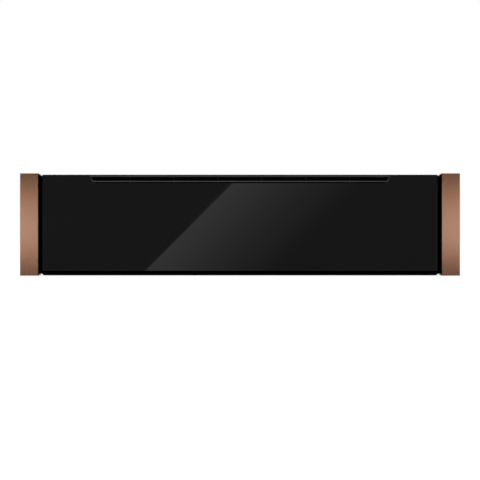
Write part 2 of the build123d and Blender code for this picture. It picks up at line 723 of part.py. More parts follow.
with BuildPart() as tank_valve:
    with BuildSketch(Plane.XY.offset(TROUGH_FLOOR_Z - VALVE_SPIGOT)):
        with Locations((TANK_X, VALVE_Y)):
            RegularPolygon(VALVE_KEY_RADIUS, VALVE_SIDES)
    extrude(amount=VALVE_SPIGOT + TANK_WALL)
    with BuildSketch(Plane.XY.offset(TROUGH_FLOOR_Z + TANK_WALL)):
        with Locations((TANK_X, VALVE_Y)):
            RegularPolygon(VALVE_COLLAR_RADIUS, VALVE_SIDES)
    extrude(amount=VALVE_COLLAR)
    with BuildSketch(Plane.XY.offset(TROUGH_FLOOR_Z - VALVE_SPIGOT)):
        with Locations((TANK_X, VALVE_Y)):
            RegularPolygon(VALVE_BORE, VALVE_SIDES)
    extrude(amount=VALVE_SPIGOT + TANK_WALL + VALVE_COLLAR, mode=Mode.SUBTRACT)
save(tank_valve, "tank_valve")

# Tank lid: a plate with a skirt inside the tank, a filler opening and two hinge lugs
LID_PLATE = 2.0
LID_SKIRT = 5.0
LID_FIT = 0.2
FILLER_LENGTH = 34.0
FILLER_WIDTH = 34.0
FILLER_Y = -175.0
FILLER_CORNER = 6.0
FILLER_COLLAR = 1.6
FILLER_COLLAR_HEIGHT = 1.2
LUG_THICK = 3.0
LUG_SPAN = 30.0
PIN_RADIUS = 1.5
PIN_RISE = 3.0
PIN_SETBACK = 4.0
LUG_HALF = 2.8
GRIP_LENGTH = 70.0
GRIP_HEIGHT = 6.0
GRIP_WIDTH = 12.0
lid_top = tank_top + LID_PLATE
pin_y = FILLER_Y + FILLER_LENGTH / 2 + FILLER_COLLAR + PIN_SETBACK
pin_z = lid_top + PIN_RISE
grip_y = PAN_Y

with BuildPart() as tank_lid:
    with BuildSketch(Plane.XY.offset(tank_top)):
        panel(tank_left, tank_right, TANK_FRONT_Y, tank_back_y, TANK_CORNER)
    extrude(amount=LID_PLATE)
    skirt_inset = TANK_WALL + LID_FIT
    with BuildSketch(Plane.XY.offset(tank_top)) as skirt:
        panel(
            tank_left + skirt_inset,
            tank_right - skirt_inset,
            TANK_FRONT_Y + skirt_inset,
            tank_back_y - skirt_inset,
        )
        chamfer(skirt.vertices(), TANK_CORNER / 2)
        offset(amount=-LID_PLATE, mode=Mode.SUBTRACT)
    extrude(amount=-LID_SKIRT)
    with BuildSketch(Plane.XY.offset(lid_top)) as collar:
        with Locations((TANK_X, FILLER_Y)):
            Rectangle(FILLER_WIDTH + 2 * FILLER_COLLAR, FILLER_LENGTH + 2 * FILLER_COLLAR)
        chamfer(collar.vertices(), FILLER_CORNER)
    extrude(amount=FILLER_COLLAR_HEIGHT)
    with BuildSketch(Plane.XY.offset(tank_top)) as filler:
        with Locations((TANK_X, FILLER_Y)):
            Rectangle(FILLER_WIDTH, FILLER_LENGTH)
        chamfer(filler.vertices(), FILLER_CORNER - FILLER_COLLAR / 2)
    extrude(amount=LID_PLATE + FILLER_COLLAR_HEIGHT, mode=Mode.SUBTRACT)
    for sign in (-1, 1):
        with BuildSketch(side_plane(TANK_X + sign * LUG_SPAN / 2)):
            panel(pin_y - LUG_HALF, pin_y + LUG_HALF, lid_top, pin_z + LUG_HALF)
            with Locations((pin_y, pin_z)):
                Circle(PIN_RADIUS + AXLE_RUNNING_FIT, mode=Mode.SUBTRACT)
        extrude(amount=sign * LUG_THICK)
    with BuildSketch(side_plane(TANK_X - GRIP_WIDTH / 2)) as grip:
        panel(grip_y - GRIP_LENGTH / 2, grip_y + GRIP_LENGTH / 2, lid_top, lid_top + GRIP_HEIGHT)
        chamfer(grip.vertices().group_by(Axis.Y)[-1], GRIP_HEIGHT / 2)
    extrude(amount=GRIP_WIDTH)
save(tank_lid, "tank_lid")

# Tank flap: covers the filler opening and turns on a pin between the lid's lugs
FLAP_THICK = 1.8
FLAP_GAP = 0.3
FLAP_OVERLAP = 3.0
FLAP_SIDE_GAP = 0.4
FLAP_FINGER = 5.0
FLAP_BARREL_SIDES = 6
flap_bottom = lid_top + FILLER_COLLAR_HEIGHT + FLAP_GAP
flap_half = FILLER_WIDTH / 2 + FILLER_COLLAR + FLAP_OVERLAP
flap_front_y = FILLER_Y - FILLER_LENGTH / 2 - FILLER_COLLAR - FLAP_FINGER
flap_back_y = FILLER_Y + FILLER_LENGTH / 2 + FILLER_COLLAR

with BuildPart() as tank_flap:
    with BuildSketch(Plane.XY.offset(flap_bottom)) as outline:
        panel(TANK_X - flap_half, TANK_X + flap_half, flap_front_y, flap_back_y)
        chamfer(outline.vertices().group_by(Axis.Y)[0], FLAP_OVERLAP)
    extrude(amount=FLAP_THICK)
    hinge_half = LUG_SPAN / 2 - FLAP_SIDE_GAP
    with BuildSketch(side_plane(TANK_X)):
        panel(flap_back_y - LUG_HALF, pin_y, flap_bottom, flap_bottom + FLAP_THICK)
        with Locations((pin_y, pin_z)):
            RegularPolygon(PIN_RISE - FLAP_GAP, FLAP_BARREL_SIDES)
    extrude(amount=hinge_half, both=True)
    with BuildSketch(side_plane(TANK_X)):
        with Locations((pin_y, pin_z)):
            Circle(PIN_RADIUS)
    extrude(amount=LUG_SPAN / 2 + LUG_THICK, both=True)
save(tank_flap, "tank_flap")


# Feet: four low pads under the base
FOOT_SIZE = 20.0
FOOT_PITCH_X = 480.0
FOOT_PITCH_Y = 440.0
FOOT_CENTRE_Y = 6.0
FOOT_TAPER = 20.0

with BuildPart() as feet:
    with BuildSketch(Plane.XY.offset(FOOT_HEIGHT)):
        with Locations((0, FOOT_CENTRE_Y)):
            with GridLocations(FOOT_PITCH_X, FOOT_PITCH_Y, 2, 2):
                Rectangle(FOOT_SIZE, FOOT_SIZE)
    extrude(amount=-FOOT_HEIGHT, taper=FOOT_TAPER)
save(feet, "feet")


# Base pan: floor sheet with a row of vents at the rear
BASE_VENT_LENGTH = 60.0
BASE_VENT_WIDTH = 5.0
BASE_VENT_PITCH_X = 75.0
BASE_VENT_X = -80.0
BASE_VENT_Y = 235.0
BASE_VENTS = 3

with BuildPart() as base_pan:
    with BuildSketch(Plane.XY.offset(FOOT_HEIGHT)):
        panel(-wall_x, wall_x, frame_y, rear_panel_y)
        with Locations((BASE_VENT_X, BASE_VENT_Y)):
            with GridLocations(BASE_VENT_PITCH_X, 0, BASE_VENTS, 1):
                Rectangle(BASE_VENT_LENGTH, BASE_VENT_WIDTH, mode=Mode.SUBTRACT)
    extrude(amount=SHEET)
save(base_pan, "base_pan")

# Side walls: folded sheets on the base, with turned-in flanges along the top and the rear
TOP_FLANGE = 9.0
REAR_FLANGE = 15.0
SIDE_HOLE_RADIUS = 2.25
SIDE_HOLE_Y = (-210.0, 150.0)
SIDE_HOLE_Z = 92.0

with BuildPart() as side_walls:
    with BuildSketch(front_plane(frame_y)):
        panel(inner_wall_x, wall_x, base_top, cover_bottom)
        panel(wall_x - TOP_FLANGE, wall_x, cover_bottom - SHEET, cover_bottom)
    extrude(amount=frame_y - rear_panel_y)
    with BuildSketch(front_plane(rear_panel_y)):
        panel(inner_wall_x, inner_wall_x - REAR_FLANGE, base_top, cover_bottom - SHEET)
    extrude(amount=SHEET)
    with BuildSketch(side_plane(inner_wall_x)):
        with Locations(*[(y, SIDE_HOLE_Z) for y in SIDE_HOLE_Y]):
            Circle(SIDE_HOLE_RADIUS)
    extrude(amount=SHEET, mode=Mode.SUBTRACT)
    mirror(about=Plane.YZ)
save(side_walls, "side_walls")


# Top cover: flat sheet with two pressed grooves that stiffen it
GROOVE_WIDTH = 14.0
GROOVE_DEPTH = 0.5
GROOVE_LENGTH = 380.0
GROOVE_PITCH = 300.0

with BuildPart() as top_cover:
    with BuildSketch(Plane.XY.offset(cover_bottom)):
        panel(-wall_x, wall_x, frame_y, housing_back_y)
    extrude(amount=SHEET)
    with BuildSketch(Plane.XY.offset(HOUSING_TOP)):
        with GridLocations(GROOVE_PITCH, 0, 2, 1):
            Rectangle(GROOVE_WIDTH, GROOVE_LENGTH)
    extrude(amount=-GROOVE_DEPTH, mode=Mode.SUBTRACT)
save(top_cover, "top_cover")


# Rear panel: sheet with two banks of louvre slots
LOUVRE_LENGTH = 44.0
LOUVRE_HEIGHT = 4.5
LOUVRE_PITCH_X = 56.0
LOUVRE_PITCH_Z = 13.0
LOUVRE_COLUMNS = 4
LOUVRE_ROWS = 3
LOUVRE_X = -70.0
LOUVRE_Z = 100.0

with BuildPart() as rear_panel:
    with BuildSketch(front_plane(housing_back_y)):
        panel(-wall_x, wall_x, FOOT_HEIGHT, cover_bottom)
        with Locations((LOUVRE_X, LOUVRE_Z)):
            with GridLocations(LOUVRE_PITCH_X, LOUVRE_PITCH_Z, LOUVRE_COLUMNS, LOUVRE_ROWS):
                Rectangle(LOUVRE_LENGTH, LOUVRE_HEIGHT, mode=Mode.SUBTRACT)
    extrude(amount=SHEET)
save(rear_panel, "rear_panel")


# Rear bumpers: two spacers that keep the housing off the niche's back wall
BUMPER_X = 225.0
BUMPER_Z = 108.0
BUMPER_SIZE = 18.0
BUMPER_TAPER = 12.0

with BuildPart() as rear_bumpers:
    with BuildSketch(front_plane(housing_back_y)):
        with Locations((-BUMPER_X, BUMPER_Z), (BUMPER_X, BUMPER_Z)):
            Rectangle(BUMPER_SIZE, BUMPER_SIZE)
    extrude(amount=-REAR_SPACE, taper=BUMPER_TAPER)
save(rear_bumpers, "rear_bumpers")


# Terminal box: shallow moulded cover over the mains terminals, with the cable gland below it
BOX_LEFT = 190.0
BOX_RIGHT = 250.0
BOX_BOTTOM = 34.0
BOX_TOP = 74.0
BOX_WALL = 1.6
BOX_CORNER = 3.0
BOX_EDGE = 2.4
GLAND_RADIUS = 5.2
GLAND_SIDES = 6
GLAND_BORE = 4.0
GLAND_LENGTH = 9.0
gland_x = (BOX_LEFT + BOX_RIGHT) / 2
gland_y = housing_back_y + REAR_SPACE / 2

with BuildPart() as terminal_box:
    with BuildSketch(front_plane(housing_back_y)) as outline:
        panel(BOX_LEFT, BOX_RIGHT, BOX_BOTTOM, BOX_TOP)
        chamfer(outline.vertices(), BOX_CORNER)
    extrude(amount=-REAR_SPACE)
    chamfer(terminal_box.faces().sort_by(Axis.Y)[-1].edges(), BOX_EDGE)
    offset(amount=-BOX_WALL, openings=terminal_box.faces().sort_by(Axis.Y)[0])
    with BuildSketch(Plane.XY.offset(BOX_BOTTOM)):
        with Locations((gland_x, gland_y)):
            Circle(GLAND_BORE)
    extrude(amount=BOX_WALL, mode=Mode.SUBTRACT)
save(terminal_box, "terminal_box")

with BuildPart() as cable_gland:
    with BuildSketch(Plane.XY.offset(BOX_BOTTOM)):
        with Locations((gland_x, gland_y)):
            RegularPolygon(GLAND_RADIUS, GLAND_SIDES)
            Circle(GLAND_BORE, mode=Mode.SUBTRACT)
    extrude(amount=-GLAND_LENGTH)
save(cable_gland, "cable_gland")


# Front frame: sheet face of the housing with the cavity mouth, the tank bay, the fascia window
# and the air slot
BAY_BOTTOM = 6.0
BAY_TOP = 90.0
FASCIA_BOTTOM = 94.5
FASCIA_TOP = 123.5
AIR_SLOT_HALF = 197.0
AIR_SLOT_BOTTOM = 128.3
AIR_SLOT_TOP = 133.8

with BuildPart() as front_frame:
    with BuildSketch(front_plane(frame_y)):
        panel(-DOOR_HALF, DOOR_HALF, base_top, cover_bottom)
        panel(BAY_LEFT, BAY_RIGHT, BAY_BOTTOM, BAY_TOP, mode=Mode.SUBTRACT)
        panel(BAY_LEFT, BAY_RIGHT, FASCIA_BOTTOM, FASCIA_TOP, mode=Mode.SUBTRACT)
        panel(-AIR_SLOT_HALF, AIR_SLOT_HALF, AIR_SLOT_BOTTOM, AIR_SLOT_TOP, mode=Mode.SUBTRACT)
    extrude(amount=frame_y - frame_back_y)
    with BuildSketch(front_plane(frame_y)) as mouth:
        panel(CAVITY_LEFT, CAVITY_RIGHT, CAVITY_FLOOR, CAVITY_CEILING)
        chamfer(mouth.vertices(), CAVITY_CORNER)
    extrude(amount=frame_y - frame_back_y, mode=Mode.SUBTRACT)
save(front_frame, "front_frame")


# Cavity liner: welded stainless box, open at the front, with holes for what enters from the rear
SHAFT_HOLE = 5.0
NOZZLE_X = 105.0
NOZZLE_Z = 90.0
NOZZLE_KEY_RADIUS = 7.0
PROBE_X = 60.0
PROBE_Z = 100.0
PROBE_RADIUS = 2.5
FITTING_SIDES = 6
LAMP_X = 140.0
LAMP_Z = 100.0
LAMP_HOUSING = 16.0
rear_wall_y = CAVITY_REAR + STAINLESS

with BuildPart() as cavity_liner:
    with BuildSketch(front_plane(frame_back_y)) as outside:
        panel(
            CAVITY_LEFT - STAINLESS,
            CAVITY_RIGHT + STAINLESS,
            CAVITY_FLOOR - STAINLESS,
            CAVITY_CEILING + STAINLESS,
        )
        chamfer(outside.vertices(), CAVITY_CORNER)
    extrude(amount=frame_back_y - rear_wall_y)
    with BuildSketch(front_plane(frame_back_y)) as inside:
        panel(CAVITY_LEFT, CAVITY_RIGHT, CAVITY_FLOOR, CAVITY_CEILING)
        chamfer(inside.vertices(), CAVITY_CORNER)
    extrude(amount=frame_back_y - CAVITY_REAR, mode=Mode.SUBTRACT)
    with BuildSketch(front_plane(CAVITY_REAR)):
        with Locations((FAN_X, FAN_Z)):
            RegularPolygon(SHAFT_HOLE, FITTING_SIDES)
        with Locations((NOZZLE_X, NOZZLE_Z)):
            RegularPolygon(NOZZLE_KEY_RADIUS, FITTING_SIDES)
        with Locations((PROBE_X, PROBE_Z)):
            RegularPolygon(PROBE_RADIUS, FITTING_SIDES)
        with Locations((LAMP_X, LAMP_Z)):
            Rectangle(LAMP_HOUSING, LAMP_HOUSING)
    extrude(amount=-STAINLESS, mode=Mode.SUBTRACT)
save(cavity_liner, "cavity_liner")


# Insulation blanket: felt over the liner's top and down both sides
BLANKET_TOP = 127.0
BLANKET_SIDE = 5.6
BLANKET_FRONT_GAP = 5.0
BLANKET_REAR_GAP = 2.0
BLANKET_CORNER = 7.0

with BuildPart() as insulation_blanket:
    with BuildSketch(front_plane(frame_back_y + BLANKET_FRONT_GAP)) as section:
        panel(
            CAVITY_LEFT - STAINLESS - BLANKET_SIDE,
            CAVITY_RIGHT + STAINLESS + BLANKET_SIDE,
            CAVITY_FLOOR,
            BLANKET_TOP,
        )
        chamfer(section.vertices().group_by(Axis.Y)[-1], BLANKET_CORNER)
        panel(
            CAVITY_LEFT - STAINLESS,
            CAVITY_RIGHT + STAINLESS,
            CAVITY_FLOOR,
            CAVITY_CEILING + STAINLESS,
            mode=Mode.SUBTRACT,
        )
    extrude(amount=frame_back_y + BLANKET_FRONT_GAP - rear_wall_y + BLANKET_REAR_GAP)
save(insulation_blanket, "insulation_blanket")


# Floor heater: a flat element pressed under the cavity floor
HEATER_THICK = 2.2
HEATER_HALF_X = 180.0
HEATER_HALF_Y = 170.0
HEATER_CORNER = 30.0

with BuildPart() as floor_heater:
    with BuildSketch(Plane.XY.offset(CAVITY_FLOOR - STAINLESS)) as element:
        with Locations((cavity_x, PAN_Y)):
            Rectangle(2 * HEATER_HALF_X, 2 * HEATER_HALF_Y)
        chamfer(element.vertices(), HEATER_CORNER)
    extrude(amount=-HEATER_THICK)
save(floor_heater, "floor_heater")


# Fan baffle: pressed cover on the cavity's rear wall, with an intake of radial slots and side outlets
BAFFLE_HALF = 82.0
BAFFLE_BOTTOM = 17.0
BAFFLE_TOP = 115.0
BAFFLE_DEPTH = 24.0
BAFFLE_EDGE = 6.0
INTAKE_SLOTS = 12
INTAKE_RADIUS = 21.0
INTAKE_SLOT_LENGTH = 17.0
INTAKE_SLOT_WIDTH = 4.0
OUTLET_LENGTH = 60.0
OUTLET_WIDTH = 5.0
baffle_y = CAVITY_REAR - BAFFLE_DEPTH

with BuildPart() as fan_baffle:
    with BuildSketch(front_plane(CAVITY_REAR)) as outline:
        panel(FAN_X - BAFFLE_HALF, FAN_X + BAFFLE_HALF, BAFFLE_BOTTOM, BAFFLE_TOP)
        chamfer(outline.vertices(), BAFFLE_EDGE)
    extrude(amount=BAFFLE_DEPTH)
    chamfer(fan_baffle.faces().sort_by(Axis.Y)[0].edges(), BAFFLE_EDGE / 2)
    offset(amount=-STAINLESS, openings=fan_baffle.faces().sort_by(Axis.Y)[-1])
    with BuildSketch(front_plane(baffle_y)):
        with Locations((FAN_X, FAN_Z)):
            with PolarLocations(INTAKE_RADIUS, INTAKE_SLOTS):
                Rectangle(INTAKE_SLOT_LENGTH, INTAKE_SLOT_WIDTH)
    extrude(amount=-2 * STAINLESS, mode=Mode.SUBTRACT)
    with BuildSketch(side_plane(FAN_X)):
        with Locations((CAVITY_REAR - BAFFLE_DEPTH / 2, FAN_Z)):
            Rectangle(OUTLET_WIDTH, OUTLET_LENGTH)
    extrude(amount=BAFFLE_HALF, both=True, mode=Mode.SUBTRACT)
save(fan_baffle, "fan_baffle")


# Fan wheel: a round plate with upright swept blades and a hub
FAN_RADIUS = 39.0
FAN_FRONT_Y = 172.0
FAN_BACK_Y = 186.0
FAN_BLADES = 8
FAN_BLADE_THICK = 1.2
FAN_PLATE = 1.2
FAN_HUB_RADIUS = 7.0
FAN_HUB = 8.0
SHAFT_RADIUS = 3.0
BLADE_INNER_RADIUS = 20.0
BLADE_SWEEP = 28.0
blade_chord = FAN_RADIUS - BLADE_INNER_RADIUS

with BuildPart() as fan_wheel:
    with BuildSketch(front_plane(FAN_BACK_Y)):
        with Locations((FAN_X, FAN_Z)):
            Circle(FAN_RADIUS)
    extrude(amount=FAN_PLATE)
    with BuildSketch(front_plane(FAN_BACK_Y)):
        with Locations((FAN_X, FAN_Z)):
            RegularPolygon(FAN_HUB_RADIUS, FITTING_SIDES)
    extrude(amount=FAN_HUB)
    with BuildSketch(front_plane(FAN_BACK_Y)):
        with Locations((FAN_X, FAN_Z)):
            with PolarLocations((FAN_RADIUS + BLADE_INNER_RADIUS) / 2, FAN_BLADES):
                Rectangle(blade_chord, FAN_BLADE_THICK, rotation=BLADE_SWEEP)
    extrude(amount=FAN_BACK_Y - FAN_FRONT_Y)
save(fan_wheel, "fan_wheel")

# Fan shaft and motor: a laminated frame with its coil block to one side, on four standoffs
MOTOR_FRONT_Y = 197.0
MOTOR_BACK_Y = 228.0
MOTOR_HALF = 26.0
MOTOR_EDGE = 5.0
MOTOR_BORE_DEPTH = 24.0
MOTOR_PLATE = 2.0
MOTOR_PLATE_HALF = 36.0
COIL_LENGTH = 44.0
COIL_HEIGHT = 26.0
COIL_OVERHANG = 8.0
STANDOFF_SIZE = 7.0
STANDOFF_PITCH = 58.0

with BuildPart() as fan_shaft:
    with BuildSketch(front_plane(FAN_BACK_Y)):
        with Locations((FAN_X, FAN_Z)):
            Circle(SHAFT_RADIUS)
    extrude(amount=FAN_BACK_Y - MOTOR_FRONT_Y - MOTOR_BORE_DEPTH / 2)
save(fan_shaft, "fan_shaft")

with BuildPart() as fan_motor:
    with BuildSketch(front_plane(MOTOR_FRONT_Y)):
        with Locations((FAN_X, FAN_Z)):
            Rectangle(2 * MOTOR_PLATE_HALF, 2 * MOTOR_PLATE_HALF)
    extrude(amount=-MOTOR_PLATE)
    with BuildSketch(front_plane(rear_wall_y)):
        with Locations((FAN_X, FAN_Z)):
            with GridLocations(STANDOFF_PITCH, STANDOFF_PITCH, 2, 2):
                Rectangle(STANDOFF_SIZE, STANDOFF_SIZE)
    extrude(amount=rear_wall_y - MOTOR_FRONT_Y)
    with BuildSketch(front_plane(MOTOR_FRONT_Y)) as stack:
        with Locations((FAN_X, FAN_Z)):
            Rectangle(2 * MOTOR_HALF, 2 * MOTOR_HALF)
        chamfer(stack.vertices(), MOTOR_EDGE)
    extrude(amount=MOTOR_FRONT_Y - MOTOR_BACK_Y)
    with BuildSketch(front_plane(MOTOR_FRONT_Y + MOTOR_PLATE)):
        with Locations((FAN_X, FAN_Z - MOTOR_HALF)):
            Rectangle(COIL_LENGTH, COIL_HEIGHT)
    extrude(amount=MOTOR_FRONT_Y + MOTOR_PLATE - MOTOR_BACK_Y - COIL_OVERHANG)
    with BuildSketch(front_plane(MOTOR_FRONT_Y)):
        with Locations((FAN_X, FAN_Z)):
            Circle(SHAFT_RADIUS + AXLE_RUNNING_FIT)
    extrude(amount=-MOTOR_BORE_DEPTH, mode=Mode.SUBTRACT)
save(fan_motor, "fan_motor")


# Steam generator: an upright boiler behind the cavity, in two shells joined at a flange
BOILER_LEFT = 62.0
BOILER_RIGHT = 150.0
BOILER_FRONT_Y = 200.0
BOILER_BACK_Y = 250.0
BOILER_TOP = 106.0
BOILER_CORNER = 10.0
BOILER_FLANGE = 3.0
BOILER_FLANGE_Z = 70.0
PIPE_RADIUS = 5.0
PIPE_BORE = 3.6

with BuildPart() as steam_generator:
    with BuildSketch(Plane.XY.offset(base_top)) as outline:
        panel(BOILER_LEFT, BOILER_RIGHT, BOILER_FRONT_Y, BOILER_BACK_Y)
        chamfer(outline.vertices(), BOILER_CORNER)
    extrude(amount=BOILER_TOP - base_top)
    chamfer(steam_generator.faces().sort_by(Axis.Z)[-1].edges(), BOILER_CORNER / 2)
    with BuildSketch(Plane.XY.offset(BOILER_FLANGE_Z)) as outline:
        panel(
            BOILER_LEFT - BOILER_FLANGE,
            BOILER_RIGHT + BOILER_FLANGE,
            BOILER_FRONT_Y - BOILER_FLANGE,
            BOILER_BACK_Y + BOILER_FLANGE,
        )
        chamfer(outline.vertices(), BOILER_CORNER)
    extrude(amount=BOILER_FLANGE)
save(steam_generator, "steam_generator")

# Steam pipe: a short straight pipe from the boiler's front to the nozzle
with BuildPart() as steam_pipe:
    with BuildSketch(front_plane(BOILER_FRONT_Y)):
        with Locations((NOZZLE_X, NOZZLE_Z)):
            RegularPolygon(PIPE_RADIUS, FITTING_SIDES)
            RegularPolygon(PIPE_BORE, FITTING_SIDES, mode=Mode.SUBTRACT)
    extrude(amount=BOILER_FRONT_Y - rear_wall_y)
save(steam_pipe, "steam_pipe")

# Steam nozzle: a six-sided spout on the cavity's rear wall, keyed into it
NOZZLE_FLANGE_RADIUS = 11.0
NOZZLE_FLANGE = 2.0
NOZZLE_LENGTH = 14.0

with BuildPart() as steam_nozzle:
    with BuildSketch(front_plane(rear_wall_y)):
        with Locations((NOZZLE_X, NOZZLE_Z)):
            RegularPolygon(NOZZLE_KEY_RADIUS, FITTING_SIDES)
    extrude(amount=STAINLESS)
    with BuildSketch(front_plane(CAVITY_REAR)):
        with Locations((NOZZLE_X, NOZZLE_Z)):
            RegularPolygon(NOZZLE_FLANGE_RADIUS, FITTING_SIDES)
    extrude(amount=NOZZLE_FLANGE)
    with BuildSketch(front_plane(CAVITY_REAR)):
        with Locations((NOZZLE_X, NOZZLE_Z)):
            RegularPolygon(NOZZLE_KEY_RADIUS, FITTING_SIDES)
    extrude(amount=NOZZLE_LENGTH)
    with BuildSketch(front_plane(rear_wall_y)):
        with Locations((NOZZLE_X, NOZZLE_Z)):
            RegularPolygon(PIPE_BORE, FITTING_SIDES)
    extrude(amount=STAINLESS + NOZZLE_LENGTH, mode=Mode.SUBTRACT)
save(steam_nozzle, "steam_nozzle")

# Temperature probe: a thin six-sided pin into the cavity with a nut outside it
PROBE_LENGTH = 30.0
PROBE_NUT_RADIUS = 6.0
PROBE_NUT = 5.0

with BuildPart() as temperature_probe:
    with BuildSketch(front_plane(rear_wall_y)):
        with Locations((PROBE_X, PROBE_Z)):
            RegularPolygon(PROBE_RADIUS, FITTING_SIDES)
    extrude(amount=PROBE_LENGTH)
    with BuildSketch(front_plane(rear_wall_y)):
        with Locations((PROBE_X, PROBE_Z)):
            RegularPolygon(PROBE_NUT_RADIUS, FITTING_SIDES)
    extrude(amount=-PROBE_NUT)
save(temperature_probe, "temperature_probe")

# Cavity lamp: a square glass with sloping edges in the rear wall, its holder behind it
LAMP_FLANGE = 22.0
LAMP_FLANGE_THICK = 4.0
LAMP_FLANGE_EDGE = 2.8
LAMP_HOLDER = 8.0

with BuildPart() as cavity_lamp:
    with BuildSketch(front_plane(CAVITY_REAR + LAMP_HOLDER)):
        with Locations((LAMP_X, LAMP_Z)):
            Rectangle(LAMP_HOUSING, LAMP_HOUSING)
    extrude(amount=LAMP_HOLDER)
    with BuildSketch(front_plane(CAVITY_REAR)):
        with Locations((LAMP_X, LAMP_Z)):
            Rectangle(LAMP_FLANGE, LAMP_FLANGE)
    extrude(amount=LAMP_FLANGE_THICK)
    chamfer(cavity_lamp.faces().sort_by(Axis.Y)[0].edges(), LAMP_FLANGE_EDGE)
save(cavity_lamp, "cavity_lamp")


# Dock socket: the fixed half of the water coupling, behind the tank carrier
DOCK_HALF = 13.0
DOCK_FRONT_GAP = 4.0
DOCK_LENGTH = 30.0
DOCK_BORE_DEPTH = 20.0
DOCK_CLEARANCE = 0.4
DOCK_EDGE = 4.0
DOCK_BARB_RADIUS = 4.5
DOCK_BARB = 4.0
dock_y = trough_back_y + DOCK_FRONT_GAP
dock_top = 2 * WATER_LINE_Z - base_top

with BuildPart() as dock_socket:
    with BuildSketch(front_plane(dock_y)) as block:
        panel(TANK_X - DOCK_HALF, TANK_X + DOCK_HALF, base_top, dock_top)
        chamfer(block.vertices().group_by(Axis.Y)[-1], DOCK_EDGE)
    extrude(amount=-DOCK_LENGTH)
    with BuildSketch(front_plane(dock_y + DOCK_LENGTH)):
        with Locations((TANK_X, WATER_LINE_Z)):
            RegularPolygon(DOCK_BARB_RADIUS, FITTING_SIDES)
    extrude(amount=-DOCK_BARB)
    with BuildSketch(front_plane(dock_y)):
        with Locations((TANK_X, WATER_LINE_Z)):
            Circle(NIPPLE_RADIUS + DOCK_CLEARANCE)
    extrude(amount=-DOCK_BORE_DEPTH, mode=Mode.SUBTRACT)
save(dock_socket, "dock_socket")

# Water pump: an eight-sided body on a saddle, with a side outlet
PUMP_RADIUS = 13.0
PUMP_SIDES = 8
PUMP_Y = 165.0
PUMP_LENGTH = 62.0
PUMP_NOSE_RADIUS = 4.5
PUMP_NOSE = 5.0
PUMP_SADDLE_HALF = 15.0
PUMP_SADDLE_LENGTH = 20.0
PUMP_OUTLET_Y = 218.0
PUMP_OUTLET = 4.0
HOSE_RADIUS = 4.5
pump_outlet_x = TANK_X - PUMP_RADIUS - PUMP_OUTLET

with BuildPart() as water_pump:
    with BuildSketch(front_plane(PUMP_Y)):
        with Locations((TANK_X, WATER_LINE_Z)):
            RegularPolygon(PUMP_RADIUS, PUMP_SIDES)
    extrude(amount=-PUMP_LENGTH)
    with BuildSketch(front_plane(PUMP_Y)):
        with Locations((TANK_X, WATER_LINE_Z)):
            RegularPolygon(PUMP_NOSE_RADIUS, FITTING_SIDES)
    extrude(amount=PUMP_NOSE)
    with BuildSketch(front_plane(PUMP_Y + PUMP_SADDLE_LENGTH)):
        panel(TANK_X - PUMP_SADDLE_HALF, TANK_X + PUMP_SADDLE_HALF, base_top, WATER_LINE_Z)
    extrude(amount=-PUMP_SADDLE_LENGTH)
    with BuildSketch(side_plane(pump_outlet_x)):
        with Locations((PUMP_OUTLET_Y, WATER_LINE_Z)):
            RegularPolygon(HOSE_RADIUS, FITTING_SIDES)
    extrude(amount=PUMP_RADIUS)
save(water_pump, "water_pump")

# Water hoses: dock to pump, and pump to boiler
dock_end_y = dock_y + DOCK_LENGTH + DOCK_BARB

with BuildPart() as suction_hose:
    with BuildSketch(front_plane(dock_end_y)):
        with Locations((TANK_X, WATER_LINE_Z)):
            Circle(HOSE_RADIUS)
    extrude(amount=dock_end_y - PUMP_Y + PUMP_NOSE)
save(suction_hose, "suction_hose")

with BuildPart() as feed_hose:
    with BuildSketch(side_plane(BOILER_RIGHT)):
        with Locations((PUMP_OUTLET_Y, WATER_LINE_Z)):
            Circle(HOSE_RADIUS)
    extrude(amount=pump_outlet_x - BOILER_RIGHT)
save(feed_hose, "feed_hose")


# Power board: a circuit board on four pillars with relays, a transformer and capacitors
POWER_LEFT = -252.0
POWER_RIGHT = -186.0
POWER_FRONT_Y = 206.0
POWER_BACK_Y = 257.0
POWER_Z = 9.0
BOARD_THICK = 1.6
PILLAR_SIZE = 6.0
TRANSFORMER = (24.0, 20.0, 18.0)
RELAY = (10.0, 16.0, 14.0)
RELAY_PITCH = 13.0
CAPACITOR_RADIUS = 5.0
CAPACITOR_SIDES = 8
CAPACITOR_HEIGHT = 20.0
power_top = POWER_Z + BOARD_THICK
power_x = (POWER_LEFT + POWER_RIGHT) / 2
power_y = (POWER_FRONT_Y + POWER_BACK_Y) / 2

